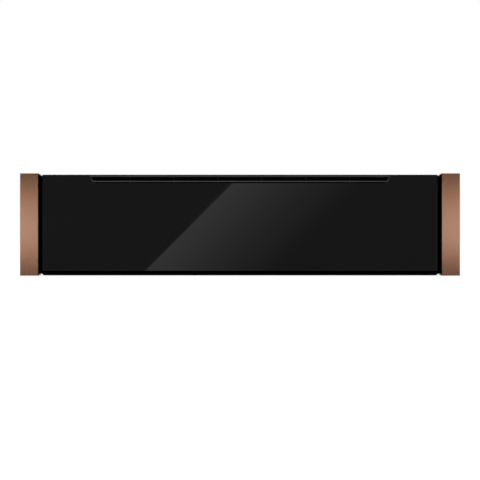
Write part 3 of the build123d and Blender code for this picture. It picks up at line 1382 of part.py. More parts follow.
with BuildPart() as power_board:
    with BuildSketch(Plane.XY.offset(POWER_Z)):
        panel(POWER_LEFT, POWER_RIGHT, POWER_FRONT_Y, POWER_BACK_Y)
    extrude(amount=BOARD_THICK)
    with BuildSketch(Plane.XY.offset(base_top)):
        with Locations((power_x, power_y)):
            with GridLocations(
                POWER_RIGHT - POWER_LEFT - 2 * PILLAR_SIZE,
                POWER_BACK_Y - POWER_FRONT_Y - 2 * PILLAR_SIZE,
                2,
                2,
            ):
                Rectangle(PILLAR_SIZE, PILLAR_SIZE)
    extrude(amount=POWER_Z - base_top)
    with BuildSketch(Plane.XY.offset(power_top)):
        with Locations((power_x - TRANSFORMER[0] / 2, power_y)):
            Rectangle(TRANSFORMER[0], TRANSFORMER[1])
    extrude(amount=TRANSFORMER[2])
    with BuildSketch(Plane.XY.offset(power_top)):
        with Locations((power_x + RELAY[0] + RELAY_PITCH / 2, power_y)):
            with GridLocations(RELAY_PITCH, 0, 2, 1):
                Rectangle(RELAY[0], RELAY[1])
    extrude(amount=RELAY[2])
    with BuildSketch(Plane.XY.offset(power_top)):
        with Locations((power_x + RELAY[0], POWER_BACK_Y - 2 * CAPACITOR_RADIUS)):
            RegularPolygon(CAPACITOR_RADIUS, CAPACITOR_SIDES)
    extrude(amount=CAPACITOR_HEIGHT)
save(power_board, "power_board")


# Control fascia: a recessed tray behind the frame's window, seen when the drawer is open
FASCIA_FLANGE = 2.5
FASCIA_WALL = 1.5
FASCIA_DEPTH = 12.7
KNOB_X = 198.0
BUTTON_X = 232.0
LENS_X = 249.0
CONTROL_Z = 109.0
KNOB_RADIUS = 12.0
SELECTOR_RADIUS = 3.0
BUTTON_RADIUS = 6.0
LENS_SIZE = 5.0
CONTROL_FIT = 0.1
fascia_back_y = frame_back_y + FASCIA_DEPTH
fascia_face_y = fascia_back_y - FASCIA_WALL

with BuildPart() as control_fascia:
    with BuildSketch(front_plane(frame_back_y)):
        panel(
            BAY_LEFT - FASCIA_FLANGE,
            DOOR_HALF,
            FASCIA_BOTTOM - FASCIA_FLANGE,
            FASCIA_TOP + FASCIA_FLANGE,
        )
    extrude(amount=-FASCIA_DEPTH)
    with BuildSketch(front_plane(frame_back_y)):
        panel(BAY_LEFT, BAY_RIGHT, FASCIA_BOTTOM, FASCIA_TOP)
    extrude(amount=frame_back_y - fascia_face_y, mode=Mode.SUBTRACT)
    with BuildSketch(front_plane(fascia_face_y)):
        with Locations((KNOB_X, CONTROL_Z)):
            Circle(SELECTOR_RADIUS + CONTROL_FIT)
        with Locations((BUTTON_X, CONTROL_Z)):
            Circle(BUTTON_RADIUS + CONTROL_FIT)
        with Locations((LENS_X, CONTROL_Z)):
            Rectangle(LENS_SIZE, LENS_SIZE)
    extrude(amount=-FASCIA_WALL, mode=Mode.SUBTRACT)
save(control_fascia, "control_fascia")

# Selector knob: a fluted cap on a shaft that runs into the switch
KNOB_HEIGHT = 9.0
KNOB_LIFT = 0.5
KNOB_SOCKET = 6.0
FLUTES = 6
FLUTE_SIZE = 2.6
FLUTE_TURN = 45.0
SWITCH_HALF = 9.0
SWITCH_DEPTH = 12.0
SHAFT_SEAT = 10.0
knob_back_y = fascia_face_y - KNOB_LIFT

with BuildPart() as selector_knob:
    with BuildSketch(front_plane(knob_back_y)):
        with Locations((KNOB_X, CONTROL_Z)):
            Circle(KNOB_RADIUS)
    extrude(amount=KNOB_HEIGHT)
    with BuildSketch(front_plane(knob_back_y)):
        with Locations((KNOB_X, CONTROL_Z)):
            with PolarLocations(KNOB_RADIUS, FLUTES):
                Rectangle(FLUTE_SIZE, FLUTE_SIZE, rotation=FLUTE_TURN)
    extrude(amount=KNOB_HEIGHT, mode=Mode.SUBTRACT)
    with BuildSketch(front_plane(knob_back_y)):
        with Locations((KNOB_X, CONTROL_Z)):
            Circle(SELECTOR_RADIUS)
    extrude(amount=KNOB_SOCKET, mode=Mode.SUBTRACT)
save(selector_knob, "selector_knob")

with BuildPart() as selector_shaft:
    with BuildSketch(front_plane(knob_back_y - KNOB_SOCKET)):
        with Locations((KNOB_X, CONTROL_Z)):
            Circle(SELECTOR_RADIUS)
    extrude(amount=knob_back_y - KNOB_SOCKET - fascia_back_y - SHAFT_SEAT)
save(selector_shaft, "selector_shaft")

with BuildPart() as selector_switch:
    with BuildSketch(front_plane(fascia_back_y)):
        with Locations((KNOB_X, CONTROL_Z)):
            Rectangle(2 * SWITCH_HALF, 2 * SWITCH_HALF)
    extrude(amount=-SWITCH_DEPTH)
    with BuildSketch(front_plane(fascia_back_y)):
        with Locations((KNOB_X, CONTROL_Z)):
            Circle(SELECTOR_RADIUS + AXLE_RUNNING_FIT)
    extrude(amount=-SHAFT_SEAT - CONTROL_FIT, mode=Mode.SUBTRACT)
save(selector_switch, "selector_switch")

# Power button: a cap that travels into the fascia
BUTTON_STAND = 2.4
BUTTON_LENGTH = 6.0
LENS_PROUD = 0.6

with BuildPart() as power_button:
    with BuildSketch(front_plane(fascia_face_y - BUTTON_STAND)):
        with Locations((BUTTON_X, CONTROL_Z)):
            Circle(BUTTON_RADIUS)
    extrude(amount=-BUTTON_LENGTH)
save(power_button, "power_button")

with BuildPart() as indicator_lens:
    with BuildSketch(front_plane(fascia_face_y - LENS_PROUD)):
        with Locations((LENS_X, CONTROL_Z)):
            Rectangle(LENS_SIZE, LENS_SIZE)
    extrude(amount=-LENS_PROUD - 2 * FASCIA_WALL)
save(indicator_lens, "indicator_lens")

# Control board: stands behind the switch, on two brackets that reach the fascia
CONTROL_BOARD_BOTTOM = 96.0
CONTROL_BOARD_TOP = 122.0
CONTROL_BOARD_MARGIN = 3.0
control_board_y = fascia_back_y + SWITCH_DEPTH

with BuildPart() as control_board:
    with BuildSketch(front_plane(control_board_y)):
        panel(
            BAY_LEFT + CONTROL_BOARD_MARGIN,
            BAY_RIGHT - CONTROL_BOARD_MARGIN,
            CONTROL_BOARD_BOTTOM,
            CONTROL_BOARD_TOP,
        )
    extrude(amount=-BOARD_THICK)
    with BuildSketch(front_plane(control_board_y)):
        with Locations(((BAY_LEFT + BAY_RIGHT) / 2, CONTROL_Z)):
            with GridLocations(
                BAY_RIGHT - BAY_LEFT - 4 * CONTROL_BOARD_MARGIN,
                CONTROL_BOARD_TOP - CONTROL_BOARD_BOTTOM - 2 * CONTROL_BOARD_MARGIN,
                2,
                2,
            ):
                Rectangle(LENS_SIZE, LENS_SIZE)
    extrude(amount=SWITCH_DEPTH)
save(control_board, "control_board")


# Push latch: a sprung plunger behind the left runner that touches the inner section's end
LATCH_INWARD = 8.5
LATCH_LOW = 2.0
LATCH_HIGH = 14.0
LATCH_HALF_Z = 9.0
LATCH_Y = 208.0
PLUNGER_RADIUS = 3.0
PLUNGER_TIP_GAP = 0.5
PLUNGER_LENGTH = 28.0
PLUNGER_FIT = 0.1
PLUNGER_STROKE = 4.0
LATCH_LEAD_IN = 1.0
latch_x = LATCH_INWARD - inner_wall_x
plunger_y = runner_back_y + PLUNGER_TIP_GAP

with BuildPart() as latch_body:
    with BuildSketch(front_plane(LATCH_Y)) as block:
        panel(
            LATCH_LOW - inner_wall_x,
            LATCH_HIGH - inner_wall_x,
            RUNNER_Z - LATCH_HALF_Z,
            RUNNER_Z + LATCH_HALF_Z,
        )
        chamfer(block.vertices(), LATCH_LEAD_IN)
    extrude(amount=LATCH_Y - rear_panel_y + SHEET)
    with BuildSketch(front_plane(LATCH_Y)):
        with Locations((latch_x, RUNNER_Z)):
            Circle(PLUNGER_RADIUS + PLUNGER_FIT)
    extrude(amount=-PLUNGER_LENGTH - PLUNGER_STROKE, mode=Mode.SUBTRACT)
save(latch_body, "latch_body")

with BuildPart() as latch_plunger:
    with BuildSketch(front_plane(plunger_y)):
        with Locations((latch_x, RUNNER_Z)):
            Circle(PLUNGER_RADIUS)
    extrude(amount=-PLUNGER_LENGTH)
save(latch_plunger, "latch_plunger")
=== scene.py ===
import itertools
import json
import math
import random

import bmesh
import bpy
from mathutils import Matrix, Vector

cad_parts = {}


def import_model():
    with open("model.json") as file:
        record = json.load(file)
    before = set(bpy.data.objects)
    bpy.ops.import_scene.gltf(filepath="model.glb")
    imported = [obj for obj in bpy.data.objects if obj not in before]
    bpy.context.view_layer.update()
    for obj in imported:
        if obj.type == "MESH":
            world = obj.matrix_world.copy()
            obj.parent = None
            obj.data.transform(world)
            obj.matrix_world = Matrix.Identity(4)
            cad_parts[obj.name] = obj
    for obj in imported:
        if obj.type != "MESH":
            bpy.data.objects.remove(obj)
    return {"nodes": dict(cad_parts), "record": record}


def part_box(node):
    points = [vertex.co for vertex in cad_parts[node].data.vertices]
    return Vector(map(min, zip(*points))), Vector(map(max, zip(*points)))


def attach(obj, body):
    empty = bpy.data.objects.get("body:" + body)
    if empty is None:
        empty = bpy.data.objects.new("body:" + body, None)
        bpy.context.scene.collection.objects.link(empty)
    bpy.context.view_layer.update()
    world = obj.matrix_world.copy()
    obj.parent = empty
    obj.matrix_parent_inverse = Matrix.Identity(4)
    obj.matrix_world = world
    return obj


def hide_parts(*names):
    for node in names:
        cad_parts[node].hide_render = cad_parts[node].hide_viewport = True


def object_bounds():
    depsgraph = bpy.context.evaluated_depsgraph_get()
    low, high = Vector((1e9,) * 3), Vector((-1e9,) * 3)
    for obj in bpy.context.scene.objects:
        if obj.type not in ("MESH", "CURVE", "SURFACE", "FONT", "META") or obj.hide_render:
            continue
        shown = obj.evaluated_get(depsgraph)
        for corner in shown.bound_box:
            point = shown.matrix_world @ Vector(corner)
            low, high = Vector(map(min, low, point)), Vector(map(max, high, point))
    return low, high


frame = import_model()
cad_low, cad_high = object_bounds()

# Built-in steam drawer with a black glass front between brushed bronze trims.
# Metres, in the model's own axes: X to the right, Y to the back, Z up.

# The photo's framing, in its 480 px square
IMAGE = 480.0
OBJECT_WIDTH_PX = 440.2
OBJECT_CENTRE_Y_PX = 224.5

# Camera
LENS = 100.0
SENSOR = 36.0

front_y = cad_low.y
metres_per_px = (cad_high.x - cad_low.x) / OBJECT_WIDTH_PX
camera_distance = IMAGE * metres_per_px * LENS / SENSOR
trim_low, trim_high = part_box("trim_right")
camera_z = (trim_low.z + trim_high.z) / 2 - (IMAGE / 2 - OBJECT_CENTRE_Y_PX) * metres_per_px


# Node helpers. The id_data of a node or a socket is the tree that it is in.

def add(tree, kind, **values):
    """Adds a node and sets its properties."""
    node = tree.nodes.new(kind)
    for key, value in values.items():
        setattr(node, key, value)
    return node


def feed(socket, value):
    """Gives a socket a plain value, or wires another node's output to it."""
    if isinstance(value, bpy.types.NodeSocket):
        socket.id_data.links.new(value, socket)
    else:
        socket.default_value = value


def set_sockets(node, **values):
    """Feeds a node's sockets by name; underscores stand for the spaces in their names."""
    for key, value in values.items():
        feed(node.inputs[key.replace("_", " ")], value)


def calc(operation, *values):
    """The result of a math node on a socket and more sockets or numbers."""
    node = add(values[0].id_data, "ShaderNodeMath", operation=operation)
    for socket, value in zip(node.inputs, values):
        feed(socket, value)
    return node.outputs["Value"]


def split_axes(tree, space="Object"):
    """The shaded point's coordinates, by the axis's name."""
    axes = add(tree, "ShaderNodeSeparateXYZ")
    set_sockets(axes, Vector=add(tree, "ShaderNodeTexCoord").outputs[space])
    return axes.outputs


def place(tree, scale=(1, 1, 1), turn=(0, 0, 0)):
    """Object coordinates, stretched and turned."""
    mapping = add(tree, "ShaderNodeMapping")
    coords = add(tree, "ShaderNodeTexCoord")
    set_sockets(mapping, Vector=coords.outputs["Object"], Scale=scale, Rotation=turn)
    return mapping.outputs["Vector"]


def noise(tree, scale, detail=3.0, rough=0.55, vector=None):
    tex = add(tree, "ShaderNodeTexNoise")
    set_sockets(tex, Vector=vector or place(tree), Scale=scale, Detail=detail, Roughness=rough)
    return tex.outputs["Fac"]


def spread(factor, low, high, start=0.3, end=0.7):
    """Maps a texture's middle range, or another range, onto a range of values."""
    node = add(factor.id_data, "ShaderNodeMapRange")
    set_sockets(node, Value=factor, From_Min=start, From_Max=end, To_Min=low, To_Max=high)
    return node.outputs["Result"]


def rgba(color):
    return tuple(color) + (1.0,)


def scaled(color, share):
    return tuple(c * share for c in color)


def blend_colors(factor, first, second):
    """Mixes two colours, each a plain colour or a socket, by a factor."""
    node = add(factor.id_data, "ShaderNodeMix", data_type="RGBA")
    first, second = (rgba(color) if isinstance(color, tuple) else color for color in (first, second))
    set_sockets(node, Factor=factor, A=first, B=second)
    return node.outputs["Result"]


def shade(factor, color, low, high, start=0.3, end=0.7):
    """A colour that varies between two shares of itself along a texture."""
    return blend_colors(spread(factor, 0.0, 1.0, start, end), scaled(color, low), scaled(color, high))


def beyond(tree, axis, limit, mirrored=False):
    """1 where an object coordinate, or its size with no sign, is over a limit, and 0 elsewhere."""
    value = split_axes(tree)[axis]
    return calc("GREATER_THAN", calc("ABSOLUTE", value) if mirrored else value, limit)


def bump(shader, height, distance, edge=0.0):
    """Bump from a texture, over edges that shade as if rounded by the given radius."""
    node = add(shader.id_data, "ShaderNodeBump")
    if edge:
        rounded = add(shader.id_data, "ShaderNodeBevel", samples=4)
        set_sockets(rounded, Radius=edge)
        set_sockets(node, Normal=rounded.outputs["Normal"])
    set_sockets(node, Distance=distance, Height=height)
    set_sockets(shader, Normal=node.outputs["Normal"])


# Materials. Each function dresses a new material's tree and its Principled shader.

# Radius by which the edges of moulded, cast and coated parts look rounded
EDGE_ROUND = 0.0006
# Bump distances of a fine grain, of a mould's erosion and of a polished mould
FINE, ERODED, POLISHED = 0.00002, 0.00003, 0.00001
# Black of the dark joints, also used as the painted shade on the trims' turned-in edges
JOINT_AND_SHADE_BLACK = (0.0004, 0.0004, 0.0004)


def brushed_metal(tree, shader, color, brush, roughness, anisotropy, contrast=0.06, wear=0.16, worn=0.86,
                  gloss=0.05, face=None):
    """Metal with fine brush lines along one axis: brush gives how much each axis is squeezed. With a face
    mask, the rest of it is painted black as painted shade."""
    lines = noise(tree, 1.0, 4.0, 0.6, place(tree, brush))
    tone = shade(lines, color, 1 - contrast, 1 + contrast)
    metal = blend_colors(spread(noise(tree, 9.0, 2.0), 0.0, wear), tone, scaled(color, worn))
    tangent = add(tree, "ShaderNodeTangent", direction_type="RADIAL", axis="Z")
    set_sockets(shader, Base_Color=blend_colors(face, JOINT_AND_SHADE_BLACK, metal) if face else metal,
                Roughness=spread(lines, roughness - gloss, roughness + gloss), Metallic=1.0,
                Anisotropic=anisotropy, Tangent=tangent.outputs["Tangent"])
    bump(shader, lines, FINE)


BRONZE = (0.415, 0.216, 0.136)
# The trims are painted black as shade nearer to the middle than this, on the edge that turns in beside the
# glass
TRIM_FACE_X = 0.27356
TRIM_ROUGHNESS = 0.22


def bronze_trim(tree, shader):
    """Vertically brushed, anodised aluminium. The edge that turns in beside the glass is painted black as
    painted shade.
    """
    face = beyond(tree, "X", TRIM_FACE_X, mirrored=True)
    brushed_metal(tree, shader, BRONZE, (2600, 2600, 14), TRIM_ROUGHNESS, 0.9, contrast=0.05, wear=0.12,
                  worn=0.9, gloss=0.02, face=face)


def moulded_plastic(tree, shader, color, roughness=0.45, depth=ERODED):
    """Plastic with the fine erosion texture of a mould and a faint variation of gloss."""
    cloud = noise(tree, 22.0)
    set_sockets(shader, Base_Color=shade(cloud, color, 0.92, 1.08),
                Roughness=spread(cloud, roughness - 0.05, roughness + 0.05))
    bump(shader, noise(tree, 1400.0, 2.0), depth, EDGE_ROUND)


GLASS_BLACK = (0.0016, 0.0016, 0.0017)
# Behind this plane lies the pane's ground chamfer, which is this much rougher
GLASS_FACE_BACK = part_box("glass_front")[0].y + 0.00005
GROUND_ROUGHNESS = 0.25


def black_glass(tree, shader):
    """Polished pane with a black back coat: faint haze in the gloss, no bump that would bend reflections.
    The chamfer round it is ground and shines less."""
    haze = noise(tree, 14.0, 4.0)
    ground = beyond(tree, "Y", GLASS_FACE_BACK)
    set_sockets(shader, Base_Color=shade(haze, GLASS_BLACK, 0.9, 1.1),
                Roughness=calc("MULTIPLY_ADD", ground, GROUND_ROUGHNESS, spread(haze, 0.012, 0.03)),
                Specular_IOR_Level=spread(ground, 0.5, 0.1, 0.0, 1.0), IOR=1.5)


def deep_black(tree, shader, roughness):
    """Light-absorbing coat for faces that lie in the dark joints of the front."""
    grain = noise(tree, 900.0, 2.0)
    set_sockets(shader, Base_Color=shade(grain, JOINT_AND_SHADE_BLACK, 0.8, 1.2),
                Roughness=spread(grain, roughness - 0.05, roughness + 0.05), Specular_IOR_Level=0.0)
    bump(shader, grain, FINE)


# The grey line on the grille's lip: its greys, the lower one a painted highlight, and the middle and half
# width of its top and bottom runs
GRILLE_GREY = (0.045, 0.045, 0.046)
GRILLE_LOW_HIGHLIGHT_GREY = (0.072, 0.072, 0.073)
GRILLE_MIDDLE = 0.132
GRILLE_LIP_BACK = -0.2706
GRILLE_TOP_LINE, GRILLE_TOP_REACH = 0.1362, 0.0021
GRILLE_LOW_LINE, GRILLE_LOW_REACH = 0.12812, 0.00075
# Its ends lean outwards, by this much for each unit of height, and pass this distance at this height
GRILLE_END_LEAN = 0.54
GRILLE_END_LINE, GRILLE_END_REACH = 0.2011 - GRILLE_END_LEAN * 0.1313, 0.0006
# The throat behind it and the faces of its upright ribs, both painted dark as shade
THROAT_SHADE_BLACK = (0.0006, 0.0006, 0.0006)
GRILLE_RIB_PITCH = 0.0596
GRILLE_RIB_HALF = 0.00065
GRILLE_RIB_SHADE_GREY = (0.016, 0.016, 0.016)


def vent_plastic(tree, shader):
    """The grille's moulding: a dark grey line runs round its front lip, brighter along the bottom as a
    painted highlight. Off that line and under it the lip is painted black as shadow, and its throat is
    painted black as shade, with ribs painted a little paler."""
    mottle = noise(tree, 60.0)
    # The bottom run's brighter grey is a painted highlight on the bevel under the slot
    lower, upper = (shade(mottle, grey, 0.92, 1.08) for grey in (GRILLE_LOW_HIGHLIGHT_GREY, GRILLE_GREY))
    lip = blend_colors(beyond(tree, "Z", GRILLE_MIDDLE), lower, upper)
    axes = split_axes(tree)
    lean = calc("MULTIPLY_ADD", axes["Z"], -GRILLE_END_LEAN, calc("ABSOLUTE", axes["X"]))
    top_run = calc("COMPARE", axes["Z"], GRILLE_TOP_LINE, GRILLE_TOP_REACH)
    low_run = calc("COMPARE", axes["Z"], GRILLE_LOW_LINE, GRILLE_LOW_REACH)
    end_run = calc("COMPARE", lean, GRILLE_END_LINE, GRILLE_END_REACH)
    line = calc("MAXIMUM", calc("MAXIMUM", top_run, low_run), end_run)
    on_lip = calc("LESS_THAN", axes["Y"], GRILLE_LIP_BACK)
    # Under the low run, and off the grey line, the lip is painted black as the shadow round it
    above_painted_shadow = beyond(tree, "Z", GRILLE_LOW_LINE - GRILLE_LOW_REACH)
    painted = calc("MULTIPLY", calc("MULTIPLY", line, on_lip), above_painted_shadow)
    # The throat's black and its ribs' darker grey are painted shade
    fold = calc("PINGPONG", axes["X"], GRILLE_RIB_PITCH / 2)
    rib = calc("GREATER_THAN", fold, GRILLE_RIB_PITCH / 2 - GRILLE_RIB_HALF)
    shaded_throat = blend_colors(rib, THROAT_SHADE_BLACK, GRILLE_RIB_SHADE_GREY)
    set_sockets(shader, Base_Color=blend_colors(painted, shaded_throat, lip), Roughness=0.55, Specular_IOR_Level=0.0)
    bump(shader, noise(tree, 1400.0, 2.0), ERODED)


def zinc_sheet(tree, shader):
    """Galvanised sheet: large soft spangles, each with its own grey and gloss."""
    spangle = add(tree, "ShaderNodeTexVoronoi")
    set_sockets(spangle, Vector=place(tree), Scale=95.0)
    cell = spangle.outputs["Color"]
    fine = noise(tree, 240.0)
    tone = shade(cell, (0.43, 0.44, 0.45), 0.86, 1.08, 0.0, 1.0)
    set_sockets(shader, Base_Color=blend_colors(spread(fine, 0.0, 0.25), tone, (0.38, 0.39, 0.39)),
                Roughness=spread(cell, 0.42, 0.52, 0.0, 1.0), Metallic=1.0)
    bump(shader, fine, ERODED)


def rubber(tree, shader, color, roughness=0.6):
    dust = noise(tree, 60.0, 4.0)
    set_sockets(shader, Base_Color=shade(dust, color, 0.85, 1.2), Specular_IOR_Level=0.35, Sheen_Weight=0.1,
                Roughness=spread(dust, roughness - 0.06, roughness + 0.1))
    bump(shader, noise(tree, 1500.0, 2.0), FINE)


def mineral_felt(tree, shader):
    """Pressed fibre mat: long random fibres over a mottled ground."""
    fibres = noise(tree, 1.0, 6.0, 0.7, place(tree, (260, 900, 260), (0.2, 0.1, 0.6)))
    tone = shade(noise(tree, 45.0, 4.0), (0.55, 0.52, 0.44), 0.8, 1.12)
    set_sockets(shader, Base_Color=blend_colors(spread(fibres, 0.0, 0.5), tone, (0.70, 0.68, 0.60)),
                Roughness=0.95, Sheen_Weight=0.25)
    bump(shader, fibres, 0.0006)


def cast_metal(tree, shader, color, roughness=0.5):
    """Die-cast aluminium with a sandy skin."""
    sand = noise(tree, 520.0, 4.0, 0.65)
    set_sockets(shader, Base_Color=shade(noise(tree, 18.0), color, 0.86, 1.06), Metallic=1.0,
                Roughness=spread(sand, roughness - 0.08, roughness + 0.1))
    bump(shader, sand, 0.00012, 2 * EDGE_ROUND)


def painted_metal(tree, shader, color, roughness=0.4, peel=160.0):
    """Powder coat with a little orange peel."""
    skin = noise(tree, peel, 2.0)
    set_sockets(shader, Base_Color=shade(noise(tree, 12.0, 2.0), color, 0.9, 1.08),
                Roughness=spread(skin, roughness - 0.05, roughness + 0.05))
    bump(shader, skin, 0.00006, EDGE_ROUND)


def circuit_board(tree, shader):
    """Green solder resist with copper tracks under it, laid out on a square grid."""
    axes = split_axes(tree)
    # Boards lie flat or stand upright, so depth and height count as one direction
    flat = add(tree, "ShaderNodeCombineXYZ")
    set_sockets(flat, X=axes["X"], Y=calc("ADD", axes["Y"], axes["Z"]))
    tracks = add(tree, "ShaderNodeTexBrick", offset=0.5, squash=1.0)
    set_sockets(tracks, Vector=flat.outputs["Vector"], Scale=190.0, Mortar_Size=0.07,
                Color1=rgba((0.012, 0.10, 0.045)), Color2=rgba((0.016, 0.12, 0.055)),
                Mortar=rgba((0.05, 0.24, 0.10)))
    set_sockets(shader, Base_Color=tracks.outputs["Color"],
                Roughness=spread(noise(tree, 80.0, 2.0), 0.22, 0.34))
    bump(shader, tracks.outputs["Fac"], ERODED)


def clear_plastic(tree, shader):
    """Smoke-tinted clear moulding with fine scuffs."""
    scuffs = noise(tree, 1.0, 4.0, 0.7, place(tree, (40, 400, 300)))
    set_sockets(shader, Base_Color=shade(scuffs, (0.80, 0.87, 0.90), 0.96, 1.0),
                Roughness=spread(scuffs, 0.04, 0.14), Transmission_Weight=0.92, IOR=1.45)


def lamp_glass(tree, shader):
    """Frosted lamp cover, a little milky."""
    frost = noise(tree, 700.0, 2.0)
    set_sockets(shader, Base_Color=shade(frost, (0.92, 0.90, 0.84), 0.95, 1.0),
                Roughness=spread(frost, 0.25, 0.4), Transmission_Weight=0.5, IOR=1.5)
    bump(shader, frost, ERODED)


def translucent_silicone(tree, shader):
    cloud = noise(tree, 40.0)
    set_sockets(shader, Base_Color=shade(cloud, (0.70, 0.68, 0.62), 0.9, 1.05),
                Roughness=spread(cloud, 0.35, 0.5), Subsurface_Weight=0.3,
                Subsurface_Radius=(0.004, 0.004, 0.003))


# Each material's function and the values that it takes
MAKERS = {
    "bronze_trim": (bronze_trim,),
    "black_glass": (black_glass,),
    "black_plastic": (moulded_plastic, (0.018, 0.018, 0.019), 0.5),
    "grille_plastic": (vent_plastic,),
    "matt_black_metal": (deep_black, 0.6),
    "joint_black": (deep_black, 0.85),
    "brushed_stainless": (brushed_metal, (0.60, 0.59, 0.57), (14, 1800, 1800), 0.3, 0.5),
    "zinc_sheet": (zinc_sheet,),
    "bright_steel": (brushed_metal, (0.64, 0.64, 0.63), (1500, 8, 1500), 0.24, 0.3),
    "dark_silicone": (rubber, (0.035, 0.035, 0.037)),
    "roller_plastic": (moulded_plastic, (0.62, 0.61, 0.57), 0.4),
    "cage_plastic": (moulded_plastic, (0.30, 0.31, 0.33)),
    "mineral_felt": (mineral_felt,),
    "cast_aluminium": (cast_metal, (0.55, 0.55, 0.56)),
    "motor_steel": (painted_metal, (0.12, 0.12, 0.13)),
    "hose_silicone": (translucent_silicone,),
    "grey_plastic": (moulded_plastic, (0.20, 0.21, 0.22), 0.42),
    "clear_plastic": (clear_plastic,),
    "circuit_board": (circuit_board,),
    "lamp_glass": (lamp_glass,),
    "lens_plastic": (moulded_plastic, (0.75, 0.76, 0.72), 0.2, POLISHED),
    "knob_metal": (brushed_metal, (0.10, 0.10, 0.105), (1500, 1500, 1500), 0.32, 0.0),
    "copper_wire": (painted_metal, (0.46, 0.16, 0.055), 0.3, 420.0),
    "capacitor_sleeve": (moulded_plastic, (0.02, 0.03, 0.09), 0.35, POLISHED),
}
materials = {}
for name, (maker, *values) in MAKERS.items():
    materials[name] = bpy.data.materials.new(name)
    materials[name].use_nodes = True
    tree = materials[name].node_tree
    maker(tree, next(n for n in tree.nodes if n.type == "BSDF_PRINCIPLED"), *values)

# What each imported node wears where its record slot's own material isn't the one
OWN_MATERIAL = {
    "front_carrier": "joint_black", "vent_grille": "grille_plastic", "bottom_profile": "joint_black",
}
slot_of = {row["node"]: row["material_slot"] for row in frame["record"]["subparts"]}
for name, node in frame["nodes"].items():
    node.data.materials.clear()
    node.data.materials.append(materials[OWN_MATERIAL.get(name, slot_of[name])])


# Mesh helpers for the detail pieces. Lengths below are in millimetres and become metres in the mesh.

MM = 0.001
ALONG = {"z": lambda u, v, w: (u, v, w), "y": lambda u, v, w: (u, w, v), "x": lambda u, v, w: (w, u, v)}
SIDES = (-1, 1)


class Box:
    """A node's box in millimetres: its low and high corners, its middle, its half size and the middles of
    its front and top faces."""

    def __init__(self, node):
        low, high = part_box(node)
        self.low = [value / MM for value in low]
        self.high = [value / MM for value in high]
        self.mid = [(a + b) / 2 for a, b in zip(self.low, self.high)]
        self.half = [(b - a) / 2 for a, b in zip(self.low, self.high)]
        self.front = (self.mid[0], self.low[1], self.mid[2])
        self.top = (self.mid[0], self.mid[1], self.high[2])


def link(obj):
    bpy.context.scene.collection.objects.link(obj)
    return obj


def piece(name, bm, material, body="housing", slot_name=None, stands_for=None, sharp=35.0):
    """Turns a finished mesh into an object that rides on a body and wears a material. It may stand for a
    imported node."""
    bmesh.ops.recalc_face_normals(bm, faces=bm.faces)
    mesh = bpy.data.meshes.new(name)
    bm.to_mesh(mesh)
    bm.free()
    for face in mesh.polygons:
        face.use_smooth = True
    mesh.set_sharp_from_angle(angle=math.radians(sharp))
    mesh.materials.append(materials[material])
    obj = link(bpy.data.objects.new(name, mesh))
    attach(obj, body)
    if stands_for:
        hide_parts(stands_for)
    return obj


def thicken(obj, thickness, offset=-1.0):
    modifier = obj.modifiers.new("thickness", "SOLIDIFY")
    modifier.thickness = thickness * MM
    modifier.offset = offset


def pair(middle, reach):
    return middle - reach, middle + reach


def evenly(middle, pitch, count):
    """Places at a pitch, centred on a middle."""
    return [middle + (index - (count - 1) / 2) * pitch for index in range(count)]


def grid(*places):
    """Every meeting of the places along three axes, where a lone place needs no brackets."""
    return list(itertools.product(*([row] if isinstance(row, (int, float)) else row for row in places)))


def shifted(point, step):
    return tuple(a + b for a, b in zip(point, step))


def polar(reach, angle):
    return reach * math.cos(angle), reach * math.sin(angle)


def oblong(half_u, half_v, radius, steps=7):
    """Points round a rectangle with rounded corners, the same count whatever its size."""
    points = []
    for quarter, (side_u, side_v) in enumerate(((1, 1), (-1, 1), (-1, -1), (1, -1))):
        for step in range(steps + 1):
            u, v = polar(radius, math.pi / 2 * (quarter + step / steps))
            points.append((side_u * (half_u - radius) + u, side_v * (half_v - radius) + v))
    return points


def circle(radius, count=32, wave=0.0, waves=0):
    """Points round a circle, whose radius may swing in a number of times."""
    points = []
    for index in range(count):
        angle = 2 * math.pi * index / count
        swing = wave * (0.5 + 0.5 * math.cos(waves * angle)) if waves else 0.0
        points.append(polar(radius - swing, angle))
    return points


def loft(bm, loops, centre, axis="z", close_first=True, close_last=True):
    """Skins a row of loops, each given as its points and its height along the axis."""
    rings = []
    for points, height in loops:
        ring = []
        for u, v in points:
            x, y, z = ALONG[axis](u, v, height)
            ring.append(bm.verts.new(((centre[0] + x) * MM, (centre[1] + y) * MM, (centre[2] + z) * MM)))
        rings.append(ring)
    for lower, upper in zip(rings, rings[1:]):
        count = len(lower)
        for index in range(count):
            after = (index + 1) % count
            bm.faces.new((lower[index], lower[after], upper[after], upper[index]))
    if close_first:
        bm.faces.new(rings[0])
    if close_last:
        bm.faces.new(rings[-1])


# Flutes stop where a turned shape's radius is under this many millimetres for each flute
FLUTE_ROOM = 0.3


def turned(bm, profile, centre, axis="y", count=32, closed=True, wave=0.0, waves=0):
    """A turned shape: profile is a row of (radius, height along the axis)."""
    loops = [(circle(radius, count, wave if radius > waves * FLUTE_ROOM else 0.0, waves), height)
             for radius, height in profile]
    loft(bm, loops, centre, axis, closed, closed)


def spun(name, material, shapes, **how):
    """A piece of turned shapes, each a row of turned's values from the profile on."""
    bm = bmesh.new()
    for shape in shapes:
        turned(bm, *shape)
    piece(name, bm, material, **how)


def flipped(profile, side):
    """A profile whose heights run the way that side points."""
    return [(radius, side * height) for radius, height in profile]


